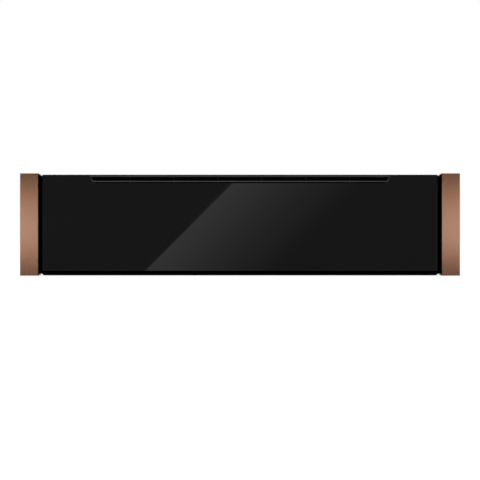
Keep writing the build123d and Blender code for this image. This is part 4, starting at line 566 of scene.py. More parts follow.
def bar(bm, low, high, edge=0.4):
    """A small block with bevelled edges, given by its low and high corners."""
    middle = [(a + b) / 2 for a, b in zip(low, high)]
    half = [(b - a) / 2 for a, b in zip(low, high)]
    cut = min(edge, 0.45 * min(half))
    loops = []
    for shrink, height in ((cut, -half[2]), (0, -half[2] + cut), (0, half[2] - cut), (cut, half[2])):
        loops.append((oblong(half[0] - shrink, half[1] - shrink, cut, 1), height))
    loft(bm, loops, middle)


def bars(name, material, origin, corners, edge, **how):
    """A piece of bars, each given by its low and high corners from an origin."""
    bm = bmesh.new()
    for low, high in corners:
        bar(bm, shifted(origin, low), shifted(origin, high), edge)
    piece(name, bm, material, **how)


def blocks(bm, feet, size, edge=0.4):
    """Bars on the middles of their feet; size is half the width, half the depth, and the height."""
    for x, y, z in feet:
        bar(bm, (x - size[0], y - size[1], z), (x + size[0], y + size[1], z + size[2]), edge)


# Pan and insert: drawn trays with rounded floor edges and rolled rims

# Rows of (inset from the box's side, height over its top, corner radius)
PAN_RIM = (
    (0.4, -0.7, 41.6), (0.0, -0.1, 42.0), (0.3, 0.7, 41.7), (1.0, 0.9, 41.0), (1.6, 0.3, 40.4),
    (2.4, 0.0, 39.6), (11.2, 0.0, 30.8), (12.4, -0.6, 29.8), (12.9, -2.0, 29.3),
)
INSERT_RIM = (
    (0.6, -0.1, 40.4), (1.2, 0.0, 39.8), (11.8, 0.0, 29.2), (13.2, -0.6, 27.8), (13.9, -2.0, 27.1),
)
# Where wall and floor meet: (inset, height over the box's bottom, fillet radius, corner radius)
PAN_FLOOR = (14.2, 0.8, 8.0, 28.0)
INSERT_FLOOR = (14.6, 0.8, 6.0, 26.4)
FILLET_STEPS = 5
SMALLEST_CORNER = 4.0
PAN_SHEET, INSERT_SHEET = 0.8, 0.7
# The insert's holes: their pitch, their radius, and the plain margin round them
HOLE_PITCH, HOLE_RADIUS, HOLE_MARGIN = 14.0, 2.94, 6
HOLE_SIDES = 12


def fillet(inset, height, radius, corner):
    """Profile points that turn from a wall into the floor."""
    points = []
    for step in range(FILLET_STEPS + 1):
        over, down = polar(radius, math.pi / 2 * step / FILLET_STEPS)
        points.append((inset + radius - over, height + radius - down,
                       max(corner - (radius - over), SMALLEST_CORNER)))
    return points


def perforate(bm, middles):
    """Square cells of a floor, with a round hole in each."""
    square, hole = [], []
    for index in range(HOLE_SIDES):
        angle = math.pi / 4 + 2 * math.pi * index / HOLE_SIDES
        reach = HOLE_PITCH / 2 / max(abs(math.cos(angle)), abs(math.sin(angle)))
        square.append(polar(reach, angle))
        hole.append(polar(HOLE_RADIUS, angle))
    for middle in middles:
        loft(bm, [(square, 0), (hole, 0)], middle, "z", False, False)
    bmesh.ops.remove_doubles(bm, verts=bm.verts, dist=0.00001)


def tray(name, body, node, rim, floor_edge, thickness, perforated=False):
    """A drawn sheet tray in a node's place, with a plain or perforated floor."""
    box = Box(node)
    inset, rise, radius, corner = floor_edge
    profile = [(inward, box.high[2] + over, round_by) for inward, over, round_by in rim]
    profile += fillet(inset, box.low[2] + rise, radius, corner)
    loops = [(oblong(box.half[0] - inward, box.half[1] - inward, round_by), height)
             for inward, height, round_by in profile]
    inset, floor_z = profile[-1][:2]
    bm = bmesh.new()
    if perforated:
        across, down = (int(2 * (half - inset - HOLE_MARGIN) / HOLE_PITCH) for half in box.half[:2])
        edge_u, edge_v = across * HOLE_PITCH / 2, down * HOLE_PITCH / 2
        inner = [(max(-edge_u, min(edge_u, u * 2)), max(-edge_v, min(edge_v, v * 2)))
                 for u, v in loops[-1][0]]
        loops.append((inner, floor_z))
    loft(bm, loops, (box.mid[0], box.mid[1], 0), "z", False, not perforated)
    if perforated:
        columns, rows = evenly(box.mid[0], HOLE_PITCH, across), evenly(box.mid[1], HOLE_PITCH, down)
        perforate(bm, [(x, y, floor_z) for y in rows for x in columns])
    thicken(piece(name, bm, "brushed_stainless", body, stands_for=node), thickness)


tray("pan_shell", "pan", "steam_pan", PAN_RIM, PAN_FLOOR, PAN_SHEET)
tray("perforated_insert", "insert", "steam_insert", INSERT_RIM, INSERT_FLOOR, INSERT_SHEET, perforated=True)


# Door gasket: a hollow silicone bulb with a thin lip, in place of the plain ring

# Rows of (inset from the ring's outer side, depth)
GASKET_SECTION = (
    (0.2, 0.0), (0.0, 0.7), (0.5, 1.3), (1.3, 2.3), (2.2, 3.1), (3.0, 3.4), (3.8, 3.1), (4.7, 2.3),
    (5.5, 1.3), (6.0, 0.7), (5.8, 0.0),
)
GASKET_CORNER = 11.5
gasket = Box("door_gasket")
bm = bmesh.new()
loft(bm, [(oblong(gasket.half[0] - inset, gasket.half[2] - inset, GASKET_CORNER - inset), depth)
          for inset, depth in GASKET_SECTION], gasket.front, "y", False, False)
piece("gasket_bulb", bm, "dark_silicone", "drawer", stands_for="door_gasket")


# Runner balls in the cages' pockets

RUNNER_Z = 43.0
BALL_PITCH, BALLS_IN_ROW = 36.0, 4
# Rows of (piece, body, cage, distance from the middle plane, rise from the runner's middle, radius)
BALL_ROWS = (
    ("outer_balls", "outer_ball_cages", "outer_cages", 271.4, 19.2, 1.75),
    ("inner_balls", "inner_ball_cages", "inner_cages", 269.7, 14.75, 1.0),
)
for name, body, cage, ball_x, ball_rise, radius in BALL_ROWS:
    bm = bmesh.new()
    along = evenly(Box(cage).mid[1], BALL_PITCH, BALLS_IN_ROW)
    for x, z, y in grid(pair(0, ball_x), pair(RUNNER_Z, ball_rise), along):
        bmesh.ops.create_uvsphere(bm, u_segments=20, v_segments=12, radius=radius * MM,
                                  matrix=Matrix.Translation(Vector((x, y, z)) * MM))
    piece(name, bm, "bright_steel", body)


# Screws and rivets

# A head's rows of (radius, height), a quarter of its cross recess's outline, and the recess's edge and bottom
SCREW_HEAD = ((2.8, 0.0), (2.8, 0.45), (2.45, 0.95), (1.7, 1.25))
SCREW_STAR = (1.25, 0.5, 0.42, 0.5)
SCREW_RECESS = (1.3, 0.5)
SCREW_SIDES = 16
# Thickness of the sheet under the heads
DOOR_SHEET, FLANGE_SHEET, BRACKET_SHEET = 0.8, 2.0, 2.0


def screws(name, spots, axis="y", sign=1, size=1.0, body="housing", material="bright_steel"):
    """Pan-head screws with a cross recess, their heads standing on a face."""
    bm = bmesh.new()
    for spot in spots:
        loops = [(circle(radius * size, SCREW_SIDES), sign * height * size) for radius, height in SCREW_HEAD]
        star = [polar(SCREW_STAR[index % 4] * size, 2 * math.pi * index / SCREW_SIDES)
                for index in range(SCREW_SIDES)]
        loft(bm, loops + [(star, sign * height * size) for height in SCREW_RECESS], spot, axis)
    piece(name, bm, material, body)


rear_y = Box("rear_panel").high[1]
door_back = Box("inner_door").low[1] + DOOR_SHEET
bracket_back = Box("rail_brackets").low[1] + BRACKET_SHEET
baffle = Box("fan_baffle")
screws("rear_screws", grid((-268, -175, 35, 155, 268), rear_y, (9, 128)))
screws("cover_screws", grid((-272, 272), (-205, -65, 75, 215), Box("top_cover").high[2]), "z")
screws("door_screws", grid(250, door_back, (10, 121)) + grid((184, 250), door_back + FLANGE_SHEET, 60),
       size=0.85, body="drawer")
screws("bracket_screws", grid((-270.5, 270.5), bracket_back, (31, 55)), size=0.9, body="drawer")
screws("baffle_screws", grid(pair(baffle.mid[0], 70), baffle.low[1], pair(baffle.mid[2], 38)), "y", -1, 0.9,
       material="brushed_stainless")

RIVET_PROFILE = ((2.6, 0.0), (2.6, 0.3), (2.0, 0.8), (0.9, 1.0))
RIVET_X, RIVET_Y = 264.0, (-240, -215, -60, 100, 190)
spun("rail_rivets", "bright_steel", [(flipped(RIVET_PROFILE, -side), (side * RIVET_X, y, RUNNER_Z), "x", 20)
                                     for side in SIDES for y in RIVET_Y], body="drawer")


# Cooling louvres: pressed hoods over the rear panel's slots

LOUVRE_X = evenly(-70.0, 56.0, 4)
LOUVRE_TOP = evenly(105.0, 13.0, 3)
# A hood's half width, drop and bulge, how far it stands off the panel, and its sheet
HOOD_HALF, HOOD_DROP, HOOD_BULGE, HOOD_GAP, HOOD_SHEET = 24.0, 7.0, 2.6, 0.05, 0.5
HOOD_ACROSS, HOOD_DOWN = 16, 5
bm = bmesh.new()
for middle_x, y, top_z in grid(LOUVRE_X, rear_y + HOOD_GAP, LOUVRE_TOP):
    lines = []
    for v in (step / HOOD_DOWN for step in range(HOOD_DOWN + 1)):
        line = []
        for u in (2 * step / HOOD_ACROSS - 1 for step in range(HOOD_ACROSS + 1)):
            bulge = HOOD_BULGE * (1 - abs(u) ** 5) * math.sin(v * math.pi / 2)
            point = (middle_x + u * HOOD_HALF, y + bulge, top_z - v * HOOD_DROP)
            line.append(bm.verts.new([value * MM for value in point]))
        lines.append(line)
    for upper, lower in zip(lines, lines[1:]):
        for index in range(HOOD_ACROSS):
            bm.faces.new((upper[index], upper[index + 1], lower[index + 1], lower[index]))
thicken(piece("louvre_hoods", bm, "zinc_sheet"), HOOD_SHEET, 1.0)


# Feet and rear bumpers: rubber pads with a rim and a dimple, in place of the plain ones

# Rows of (inset, share of the height)
PAD_STEPS = ((0.0, 0.0), (0.0, 0.35), (0.6, 0.85), (1.3, 1.0), (3.2, 1.0), (3.9, 0.75))
PAD_CORNER, PAD_SMALLEST_CORNER = 3.0, 0.6
FOOT_X, FOOT_Y, FOOT_HALF = 240, 220, 10
BUMPER_X, BUMPER_HALF = 225, 9


def pads(name, node, axis, spots, half, height):
    bm = bmesh.new()
    for spot in spots:
        loft(bm, [(oblong(half - inset, half - inset, max(PAD_CORNER - inset, PAD_SMALLEST_CORNER), 5),
                   share * height) for inset, share in PAD_STEPS], spot, axis)
    piece(name, bm, "dark_silicone", stands_for=node)


feet, bumpers = Box("feet"), Box("rear_bumpers")
pads("foot_pads", "feet", "z", grid(pair(0, FOOT_X), pair(feet.mid[1], FOOT_Y), feet.high[2]),
     FOOT_HALF, -feet.high[2])
pads("bumper_pads", "rear_bumpers", "y", grid(pair(0, BUMPER_X), bumpers.low[1], bumpers.mid[2]),
     BUMPER_HALF, bumpers.high[1] - bumpers.low[1])


# Cradle rollers: moulded wheels with a rounded tread and a dished web

ROLLER_WIDTH = 9.5
ROLLER_PROFILE = (
    (3.1, 0.3), (4.6, 0.3), (4.9, 0.8), (7.0, 0.9), (7.4, 0.2), (8.2, 0.0), (8.8, 0.5), (9.0, 1.4),
    (9.0, 8.1), (8.8, 9.0), (8.2, 9.5), (7.4, 9.3), (7.0, 8.6), (4.9, 8.7), (4.6, 9.2), (3.1, 9.2),
    (3.1, 0.3),
)
rollers = Box("cradle_rollers")
wheels = []
for side in SIDES:
    start = (rollers.mid[0] + side * (rollers.half[0] - ROLLER_WIDTH), rollers.mid[1], rollers.mid[2])
    wheels.append((flipped(ROLLER_PROFILE, side), start, "x", 36, False))
spun("roller_wheels", "roller_plastic", wheels, body="rollers", stands_for="cradle_rollers")


# Selector knob: a fluted cap with a pointer

KNOB_PROFILE = (
    (11.2, 0.0), (12.0, -0.5), (12.0, -1.6), (11.7, -2.0), (11.3, -7.8), (10.7, -8.6), (9.8, -9.0),
    (9.2, -8.85), (3.0, -8.6),
)
KNOB_FLUTE, KNOB_FLUTES = 0.35, 24
POINTER = ((-0.45, -0.05, 4.2), (0.45, 0.5, 9.4))
knob = Box("selector_knob")
knob_x, knob_z = knob.mid[0], knob.mid[2]
spun("knob_cap", "knob_metal", [(KNOB_PROFILE, (knob_x, knob.high[1], knob_z), "y", 96, True, KNOB_FLUTE,
                                 KNOB_FLUTES)], body="knob", stands_for="selector_knob")
bars("knob_pointer", "lens_plastic", knob.front, [POINTER], 0.15, body="knob")


# Ticks round the knob: every 30 degrees from the top, with a longer one at each right angle

TICKS, TICK_TURN = 10, 30
TICK_FROM, TOP_TICK_FROM = 13.6, 13.2
TICK_LENGTH, LONG_TICK_LENGTH, TICK_HALF = 1.6, 2.2, 0.22
TICK_DEPTHS = (0.02, -0.12)
# A tick that would end outside these heights is left out
TICK_ZONE = (94.8, 123.2)
# How far the fascia's face lies behind the knob's back
FASCIA_BACK = 0.5
bm = bmesh.new()
for index in range(TICKS):
    angle = math.radians(TICK_TURN * index)
    sine, cosine = math.sin(angle), math.cos(angle)
    near = TICK_FROM if index else TOP_TICK_FROM
    far = near + (TICK_LENGTH if index % 3 else LONG_TICK_LENGTH)
    if not TICK_ZONE[0] <= knob_z + far * cosine <= TICK_ZONE[1]:
        continue
    corners = [(knob_x + reach * sine + aside * TICK_HALF * cosine,
                knob_z + reach * cosine - aside * TICK_HALF * sine)
               for reach, aside in ((near, -1), (near, 1), (far, 1), (far, -1))]
    loft(bm, [(corners, depth) for depth in TICK_DEPTHS], (0, knob.high[1] + FASCIA_BACK, 0), "y")
piece("dial_ticks", bm, "lens_plastic")


# Power button: a dished cap with a raised symbol, an open ring with a stroke

BUTTON_PROFILE = ((6.0, 6.0), (6.0, 0.5), (5.8, 0.15), (5.4, 0.0), (4.9, 0.08), (3.4, 0.3), (1.6, 0.38))
RING_OUTER, RING_INNER = 1.9, 1.5
RING_START, RING_SWEEP, RING_STEPS = 35, 290, 24
SYMBOL_DEPTHS = (0.45, 0.22)
STROKE = ((-0.2, 0.22, 0.7), (0.2, 0.45, 2.4))
button = Box("power_button")
spun("button_cap", "knob_metal", [(BUTTON_PROFILE, button.front, "y", 40)], body="button",
     stands_for="power_button")
arc = [math.radians(RING_START + RING_SWEEP * step / RING_STEPS) for step in range(RING_STEPS + 1)]
ring = [(RING_OUTER * math.sin(angle), RING_OUTER * math.cos(angle)) for angle in arc]
ring += [(RING_INNER * math.sin(angle), RING_INNER * math.cos(angle)) for angle in reversed(arc)]
bm = bmesh.new()
loft(bm, [(ring, depth) for depth in SYMBOL_DEPTHS], button.front, "y")
bar(bm, *(shifted(button.front, corner) for corner in STROKE), 0.05)
piece("power_symbol", bm, "lens_plastic", "button")


# Water hoses with spring clips

HOSE_RADIUS, HOSE_STEPS = 4.5, 14
# The clips' places as shares of the hose, how far to each side they squeeze it, and by how much
CLIP_PLACES, CLIP_REACH, CLIP_GRIP = (0.18, 0.82), 0.06, 0.35
CLIP_PROFILE = ((4.35, -1.6), (4.9, -1.5), (4.9, 1.5), (4.35, 1.6))


def hose(name, node, axis):
    """A hose in a node's place, along an axis, with a clip near each end."""
    box = Box(node)
    along = "xyz".index(axis)
    length = box.high[along] - box.low[along]
    start = box.mid[:]
    start[along] = box.low[along]
    profile = []
    for share in (step / HOSE_STEPS for step in range(HOSE_STEPS + 1)):
        held = any(abs(share - middle) < CLIP_REACH for middle in CLIP_PLACES)
        profile.append((HOSE_RADIUS - CLIP_GRIP * held, share * length))
    clips = [[(radius, share * length + height) for radius, height in CLIP_PROFILE] for share in CLIP_PLACES]
    spun(name, "hose_silicone", [(profile, start, axis, 28)], stands_for=node)
    spun(name + "_clips", "bright_steel", [(clip, start, axis, 28, False) for clip in clips])


hose("suction_tube", "suction_hose", "y")
hose("feed_tube", "feed_hose", "x")


# Steam outlet, turned on the nozzle

OUTLET_NUT = ((10.4, 14.0), (10.8, 13.4), (10.8, 12.4), (10.2, 12.0))
OUTLET_PROFILE = (
    (7.0, 14.8), (7.0, 12.0), (6.6, 11.2), (5.8, 3.0), (6.2, 1.0), (5.8, 0.0), (3.6, 0.0), (3.4, 6.0),
)
nozzle = Box("steam_nozzle")
spun("steam_outlet", "brushed_stainless",
     [(OUTLET_NUT, nozzle.front, "y", 6), (OUTLET_PROFILE, nozzle.front)], stands_for="steam_nozzle")


# Insulation blanket: quilted felt with soft edges, in the plain blanket's place

BLANKET_CORNER = 7.0
SIDE_STEPS, TOP_STEPS, DEPTH_STEPS = 8, 28, 30
# How deep the felt lies under its box: everywhere, in seams along and across it, and at random
FELT_DENT, LONG_SEAM, CROSS_SEAM, RANDOM_DENT = 0.35, 0.9, 0.8, 0.5
LONG_SEAM_EVERY, CROSS_SEAM_EVERY = 4, 6


def line_of(start, end, steps):
    """Evenly spaced points from start to end."""
    return [tuple(a + (b - a) * step / steps for a, b in zip(start, end)) for step in range(steps + 1)]


def arch(left, right, bottom, top, corner=0.0):
    """Points up one side, over the top and down the other side."""
    return (line_of((left, bottom), (left, top - corner), SIDE_STEPS)
            + line_of((left + corner, top), (right - corner, top), TOP_STEPS)
            + line_of((right, top - corner), (right, bottom), SIDE_STEPS))


blanket, liner = Box("insulation_blanket"), Box("cavity_liner")
outer_path = arch(blanket.low[0], blanket.high[0], blanket.low[2], blanket.high[2], BLANKET_CORNER)
inner_path = arch(liner.low[0], liner.high[0], blanket.low[2], liner.high[2])
quilt = random.Random(7)
sections = []
for row in range(DEPTH_STEPS + 1):
    section = []
    for index, (x, z) in enumerate(outer_path):
        dent = FELT_DENT + LONG_SEAM * (index % LONG_SEAM_EVERY == 0) + RANDOM_DENT * quilt.random()
        dent += CROSS_SEAM * (row % CROSS_SEAM_EVERY == 0)
        toward = Vector((blanket.mid[0] - x, 0, liner.mid[2] - z)).normalized()
        section.append((x + toward.x * dent, z + toward.z * dent))
    depth = blanket.low[1] + (blanket.high[1] - blanket.low[1]) * row / DEPTH_STEPS
    sections.append((section + inner_path[::-1], depth))
bm = bmesh.new()
loft(bm, sections, (0, 0, 0), "y")
felt_blanket = piece("felt_blanket", bm, "mineral_felt", stands_for="insulation_blanket", sharp=60)


# Cavity lamp: a domed cover and its holder behind the wall

# Rows of (inset, depth)
COVER_STEPS = ((0.0, 4.0), (0.0, 3.0), (0.5, 2.0), (1.4, 1.1), (3.0, 0.5), (5.5, 0.15), (8.5, 0.0))
HOLDER_STEPS = ((0.0, 4.0), (0.0, 6.0), (0.8, 6.4), (0.8, 8.0), (0.0, 8.4), (0.0, 11.4), (0.6, 12.0))
COVER_CORNER, COVER_SMALLEST_CORNER = 3.0, 1.0
HOLDER_HALF, HOLDER_CORNER = 8.0, 2.0
cavity_lamp = Box("cavity_lamp")
cover = []
for inset, depth in COVER_STEPS:
    cover_half = cavity_lamp.half[0] - inset
    corner = max(COVER_CORNER - 0.2 * inset, COVER_SMALLEST_CORNER)
    cover.append((oblong(cover_half, cover_half, corner, 5), depth))
bm = bmesh.new()
loft(bm, cover, cavity_lamp.front, "y")
piece("lamp_cover", bm, "lamp_glass", stands_for="cavity_lamp")
bm = bmesh.new()
loft(bm, [(oblong(HOLDER_HALF - inset, HOLDER_HALF - inset, HOLDER_CORNER, 4), depth)
          for inset, depth in HOLDER_STEPS], cavity_lamp.front, "y")
piece("lamp_holder", bm, "grey_plastic")


# Temperature probe and steam tube

PROBE_PROFILE = (
    (0.6, 0.0), (1.8, 0.5), (2.5, 1.6), (2.5, 18.0), (2.2, 18.3), (2.2, 19.0), (2.5, 19.3), (2.5, 21.0),
    (2.2, 21.3), (2.2, 22.0), (2.5, 22.3), (2.5, 30.0),
)
PROBE_NUT = ((5.4, 0.0), (6.0, 0.5), (6.0, 4.4), (5.4, 5.0))
PIPE_RADIUS, PIPE_WAIST, PIPE_STEPS = 5.0, 0.5, 18
# The ripple's size, and its turn along the whole tube in radians
PIPE_RIPPLE, PIPE_TURN = 0.25, 40
probe, pipe = Box("temperature_probe"), Box("steam_pipe")
spun("probe_pin", "brushed_stainless", [(PROBE_PROFILE, probe.front, "y", 24),
     (PROBE_NUT, (probe.mid[0], probe.high[1] - PROBE_NUT[-1][1], probe.mid[2]), "y", 6)],
     stands_for="temperature_probe")
tube = []
for share in (step / PIPE_STEPS for step in range(PIPE_STEPS + 1)):
    radius = PIPE_RADIUS - PIPE_WAIST * (0.2 < share < 0.8) + PIPE_RIPPLE * math.cos(share * PIPE_TURN)
    tube.append((radius, share * (pipe.high[1] - pipe.low[1])))
spun("steam_tube", "brushed_stainless", [(tube, pipe.front, "y", 28)], stands_for="steam_pipe")


# Boiler: bolts round its flange, and terminal posts with tabs on its top

BOLT_PROFILE = ((1.7, 0.0), (1.7, 1.3), (1.4, 1.6))
# The bolts' height, their distance from the flange's edge and their places along its sides
FLANGE_TOP, BOLT_EDGE, BOLT_PITCH, BOLT_REACH = 73.0, 1.5, 27.28, 16.0
POST_PROFILE = ((4.2, -0.2), (4.2, 1.2), (3.2, 1.8), (3.0, 5.0), (2.4, 5.4))
POST_X, POST_Y = 14, 6
TAB, TAB_FOOT = (3.1, 0.4, 6.8), 5.2
boiler = Box("steam_generator")
flange_y = boiler.half[1] - BOLT_EDGE
bolts = grid(evenly(boiler.mid[0], BOLT_PITCH, 3), pair(boiler.mid[1], flange_y), FLANGE_TOP)
bolts += grid(pair(boiler.mid[0], boiler.half[0] - BOLT_EDGE), pair(boiler.mid[1], BOLT_REACH), FLANGE_TOP)
spun("boiler_bolts", "bright_steel", [(BOLT_PROFILE, bolt, "z", 6) for bolt in bolts])
bm = bmesh.new()
for post in grid(pair(boiler.mid[0], POST_X), boiler.mid[1] + POST_Y, boiler.high[2]):
    turned(bm, POST_PROFILE, post, "z", 20)
    blocks(bm, [shifted(post, (0, 0, TAB_FOOT))], TAB, 0.15)
piece("boiler_terminals", bm, "bright_steel")


# Fan motor's winding: turns of wire side by side

COIL_HALF_Y, COIL_HALF_Z, COIL_CORNER = 19.0, 13.4, 3.0
COIL_Y, COIL_RISE = 217.5, 13.0
COIL_TURNS, COIL_PITCH, COIL_RIPPLE = 24, 0.78, 0.22
motor = Box("fan_motor")
coil = []
for index in range(-COIL_TURNS, COIL_TURNS + 1):
    swell = COIL_RIPPLE * math.cos(index * math.pi)
    coil.append((oblong(COIL_HALF_Y + swell, COIL_HALF_Z + swell, COIL_CORNER, 3), index * COIL_PITCH))
bm = bmesh.new()
loft(bm, coil, (motor.mid[0], COIL_Y, motor.low[2] + COIL_RISE), "x")
piece("motor_winding", bm, "copper_wire", slot_name="motor_steel")


# Water pump: a barbed inlet, a body and an outlet to the side, held by a bracket with a cheek at each side

PUMP_PROFILE = (
    (3.2, 0.0), (4.4, 1.2), (3.6, 2.4), (4.4, 3.4), (3.6, 4.6), (5.5, 5.0), (11.0, 5.2), (11.6, 6.0),
    (11.6, 14.0), (12.6, 14.6), (12.6, 52.0), (11.6, 52.6), (11.6, 60.0), (10.8, 61.4), (9.0, 61.8),
    (8.4, 63.4), (4.0, 66.8),
)
PUMP_OUTLET = ((4.4, 0.0), (4.4, 1.0), (3.8, 1.6), (3.8, 17.0))
PUMP_BAND = ((12.65, 16.0), (12.9, 16.4), (12.9, 50.4), (12.65, 50.8))
BRACKET_Y, BRACKET_HALF_X, BRACKET_HALF_Y, PUMP_SHEET = 15.0, 15.0, 9.0, 1.6
CHEEK_X, CHEEK_HALF = 13.4, 0.8
pump, suction, supply = Box("water_pump"), Box("suction_hose"), Box("feed_hose")
pump_x, pump_z = suction.mid[0], suction.mid[2]
pump_front = (pump_x, pump.low[1], pump_z)
spun("pump_body", "black_plastic", [(PUMP_PROFILE, pump_front, "y", 36),
     (PUMP_OUTLET, (supply.high[0], supply.mid[1], pump_z), "x", 24)], stands_for="water_pump")
bracket_y, bracket_z = pump.low[1] + BRACKET_Y, pump.low[2]
bm = bmesh.new()
turned(bm, PUMP_BAND, pump_front, "y", 36, False)
blocks(bm, [(pump_x, bracket_y, bracket_z)], (BRACKET_HALF_X, BRACKET_HALF_Y, PUMP_SHEET))
blocks(bm, grid(pair(pump_x, CHEEK_X), bracket_y, bracket_z),
       (CHEEK_HALF, BRACKET_HALF_Y, pump_z - bracket_z), 0.3)
piece("pump_bracket", bm, "zinc_sheet", slot_name="motor_steel")


# Circuit boards: a laminate on four pillars, in place of the plain board

LAMINATE = 1.6


def board(name, node, axis, face, middle_v, reach_u, reach_v, half):
    """A board that lies across an axis and has its parts' side at face. Its pillars reach that far from its
    middle."""
    box = Box(node)
    up, out = (1, 2) if axis == "z" else (2, 1)
    along = ALONG[axis]
    bm = bmesh.new()
    bar(bm, along(box.low[0], box.low[up], face - LAMINATE), along(box.high[0], box.high[up], face), 0.2)
    for u, v in itertools.product(pair(box.mid[0], reach_u), pair(middle_v, reach_v)):
        bar(bm, along(u - half, v - half, box.low[out]), along(u + half, v + half, face - LAMINATE), 0.8)
    piece(name, bm, "circuit_board", stands_for=node)


# Power board, lying flat: relays, a terminal strip, a transformer and capacitors

POWER_FACE = 10.6
RELAY, RELAY_X = (4.9, 7.9, 13.8), (-209.0, -196.0)
TERMINAL, TERMINAL_X, TERMINAL_EDGE = (2.8, 4, 9), evenly(-236.2, 6, 4), 5
BOBBIN_END, BOBBIN_X, BOBBIN_REACH = (11.8, 0.9, 17.0), -231.0, 10.2
CORE_SHEET, CORE_X, CORE_FOOT = (0.95, 9.0, 16.5), evenly(-230.85, 2.12, 11), 1.0
BIG_CAPACITOR = (
    (4.6, 0.0), (4.9, 0.6), (4.9, 1.8), (4.6, 2.4), (4.9, 3.0), (4.9, 19.0), (4.4, 19.8), (3.6, 19.9),
    (3.4, 19.6),
)
SMALL_CAPACITOR = ((2.4, 0.0), (2.6, 0.4), (2.6, 9.6), (2.2, 10.0))
BIG_X, BIG_EDGE = -209.0, 10.0
SMALL_X, SMALL_EDGE = (-197.0, -190.5), 8.0
power = Box("power_board")
power_y = power.mid[1]
board("power_laminate", "power_board", "z", POWER_FACE, power_y, 27, 19.5, 2.5)
bm = bmesh.new()
blocks(bm, grid(RELAY_X, power_y, POWER_FACE), RELAY, 0.7)
blocks(bm, grid(TERMINAL_X, power.low[1] + TERMINAL_EDGE, POWER_FACE), TERMINAL, 0.5)
blocks(bm, grid(BOBBIN_X, pair(power_y, BOBBIN_REACH), POWER_FACE), BOBBIN_END, 0.5)
piece("power_relays", bm, "black_plastic", slot_name="circuit_board")
bm = bmesh.new()
blocks(bm, grid(CORE_X, power_y, POWER_FACE + CORE_FOOT), CORE_SHEET, 0.15)
piece("transformer_core", bm, "motor_steel", slot_name="circuit_board")
spun("power_capacitors", "capacitor_sleeve",
     [(BIG_CAPACITOR, (BIG_X, power.high[1] - BIG_EDGE, POWER_FACE), "z", 28)]
     + [(SMALL_CAPACITOR, spot, "z", 20) for spot in grid(SMALL_X, power.low[1] + SMALL_EDGE, POWER_FACE)],
     slot_name="circuit_board")


# Control board, standing behind the fascia: chips and a row of pins

CONTROL_Z = 109
# Low and high corners from the middle of the board's face
CHIPS = (
    ((-28, 0, -5), (-18, 1.2, 5)), ((-12, 0, -6), (-7, 0.9, -2)), ((-12, 0, 1), (-7, 0.9, 5)),
    ((2, 0, 4), (22, 5.0, 9)), ((2, 0, -8), (7, 1.0, -3)), ((12, 0, -8), (20, 1.4, -4)),
)
PINS = [((x - 0.3, 4.6, 6.2), (x + 0.3, 7.6, 6.8)) for x in evenly(12.0, 2.1, 9)]
control = Box("control_board")
control_face = (control.mid[0], control.high[1], CONTROL_Z)
board("control_laminate", "control_board", "y", control.high[1], CONTROL_Z, 36.7, 10, 2.3)
bars("control_chips", "black_plastic", control_face, CHIPS, 0.2, slot_name="circuit_board")
bars("control_pins", "bright_steel", control_face, PINS, 0.05, slot_name="circuit_board")


# Cable gland: a ribbed nut with a round seal, in the plain gland's place

GLAND_BASE = ((5.0, 0.0), (5.2, -0.4), (5.2, -3.0), (4.9, -3.4))
GLAND_NUT = (
    (4.8, -3.4), (5.0, -4.0), (5.0, -6.4), (4.7, -7.8), (4.1, -8.8), (3.9, -9.0), (3.7, -8.6), (3.7, 0.0),
)
GLAND_RIB, GLAND_RIBS = 0.25, 12
gland_top = Box("cable_gland").top
spun("gland_nut", "black_plastic", [(GLAND_BASE, gland_top, "z", 6),
     (GLAND_NUT, gland_top, "z", 36, True, GLAND_RIB, GLAND_RIBS)], stands_for="cable_gland")


# Push latch: a grooved case with a collar round the plunger's bore, in the plain case's place

# Rows of (radius, depth) in the bore and round the collar, then of (inset, depth) down the case
LATCH_COLLAR = ((3.3, 32.0), (3.3, 0.4), (3.7, 0.0), (5.0, 0.0), (5.3, 0.4), (5.3, 3.0))
LATCH_STEPS = [(1.2, 3.0), (0.0, 3.8)]
for groove in evenly(22.0, 4.0, 5):
    LATCH_STEPS += [(0.0, groove), (0.5, groove + 0.4), (0.5, groove + 1.2), (0.0, groove + 1.6)]
LATCH_STEPS += [(0.0, 51.6), (1.2, 53.0)]
LATCH_CORNER = 1.6
latch, plunger = Box("latch_body"), Box("latch_plunger")
bore_x, bore_z = plunger.mid[0] - latch.mid[0], plunger.mid[2] - latch.mid[2]
case = [([(u + bore_x, v + bore_z) for u, v in circle(radius)], depth) for radius, depth in LATCH_COLLAR]
case += [(oblong(latch.half[0] - inset, latch.half[2] - inset, LATCH_CORNER), depth)
         for inset, depth in LATCH_STEPS]
bm = bmesh.new()
loft(bm, case, latch.front, "y")
piece("latch_case", bm, "black_plastic", stands_for="latch_body")


# A drop raised on the filler flap, and finger ribs on the tank's grip

FLAP_FACE = 67.3
DROP_HALF, DROP_REACH, DROP_POINTS = 3.1, 4.6, 32
# The drop's place behind the flap's edge, its bottom and top, and its inner line's size and shift
DROP_Y, DROP_BOTTOM, DROP_TOP, DROP_INNER, DROP_SHIFT = 22.0, -0.1, 0.3, 0.72, 0.4
flap = Box("tank_flap")
drop = []
for index in range(DROP_POINTS):
    angle = 2 * math.pi * index / DROP_POINTS
    drop.append((DROP_HALF * math.sin(angle) * math.sin(angle / 2) ** 1.6, DROP_REACH * math.cos(angle)))
inner_drop = [(DROP_INNER * u, DROP_INNER * v - DROP_SHIFT) for u, v in drop]
bm = bmesh.new()
loft(bm, [(drop, DROP_BOTTOM), (drop, DROP_TOP), (inner_drop, DROP_TOP), (inner_drop, DROP_BOTTOM)],
     (flap.mid[0], flap.low[1] + DROP_Y, FLAP_FACE), "z", False, False)
piece("flap_drop", bm, "grey_plastic", "flap")

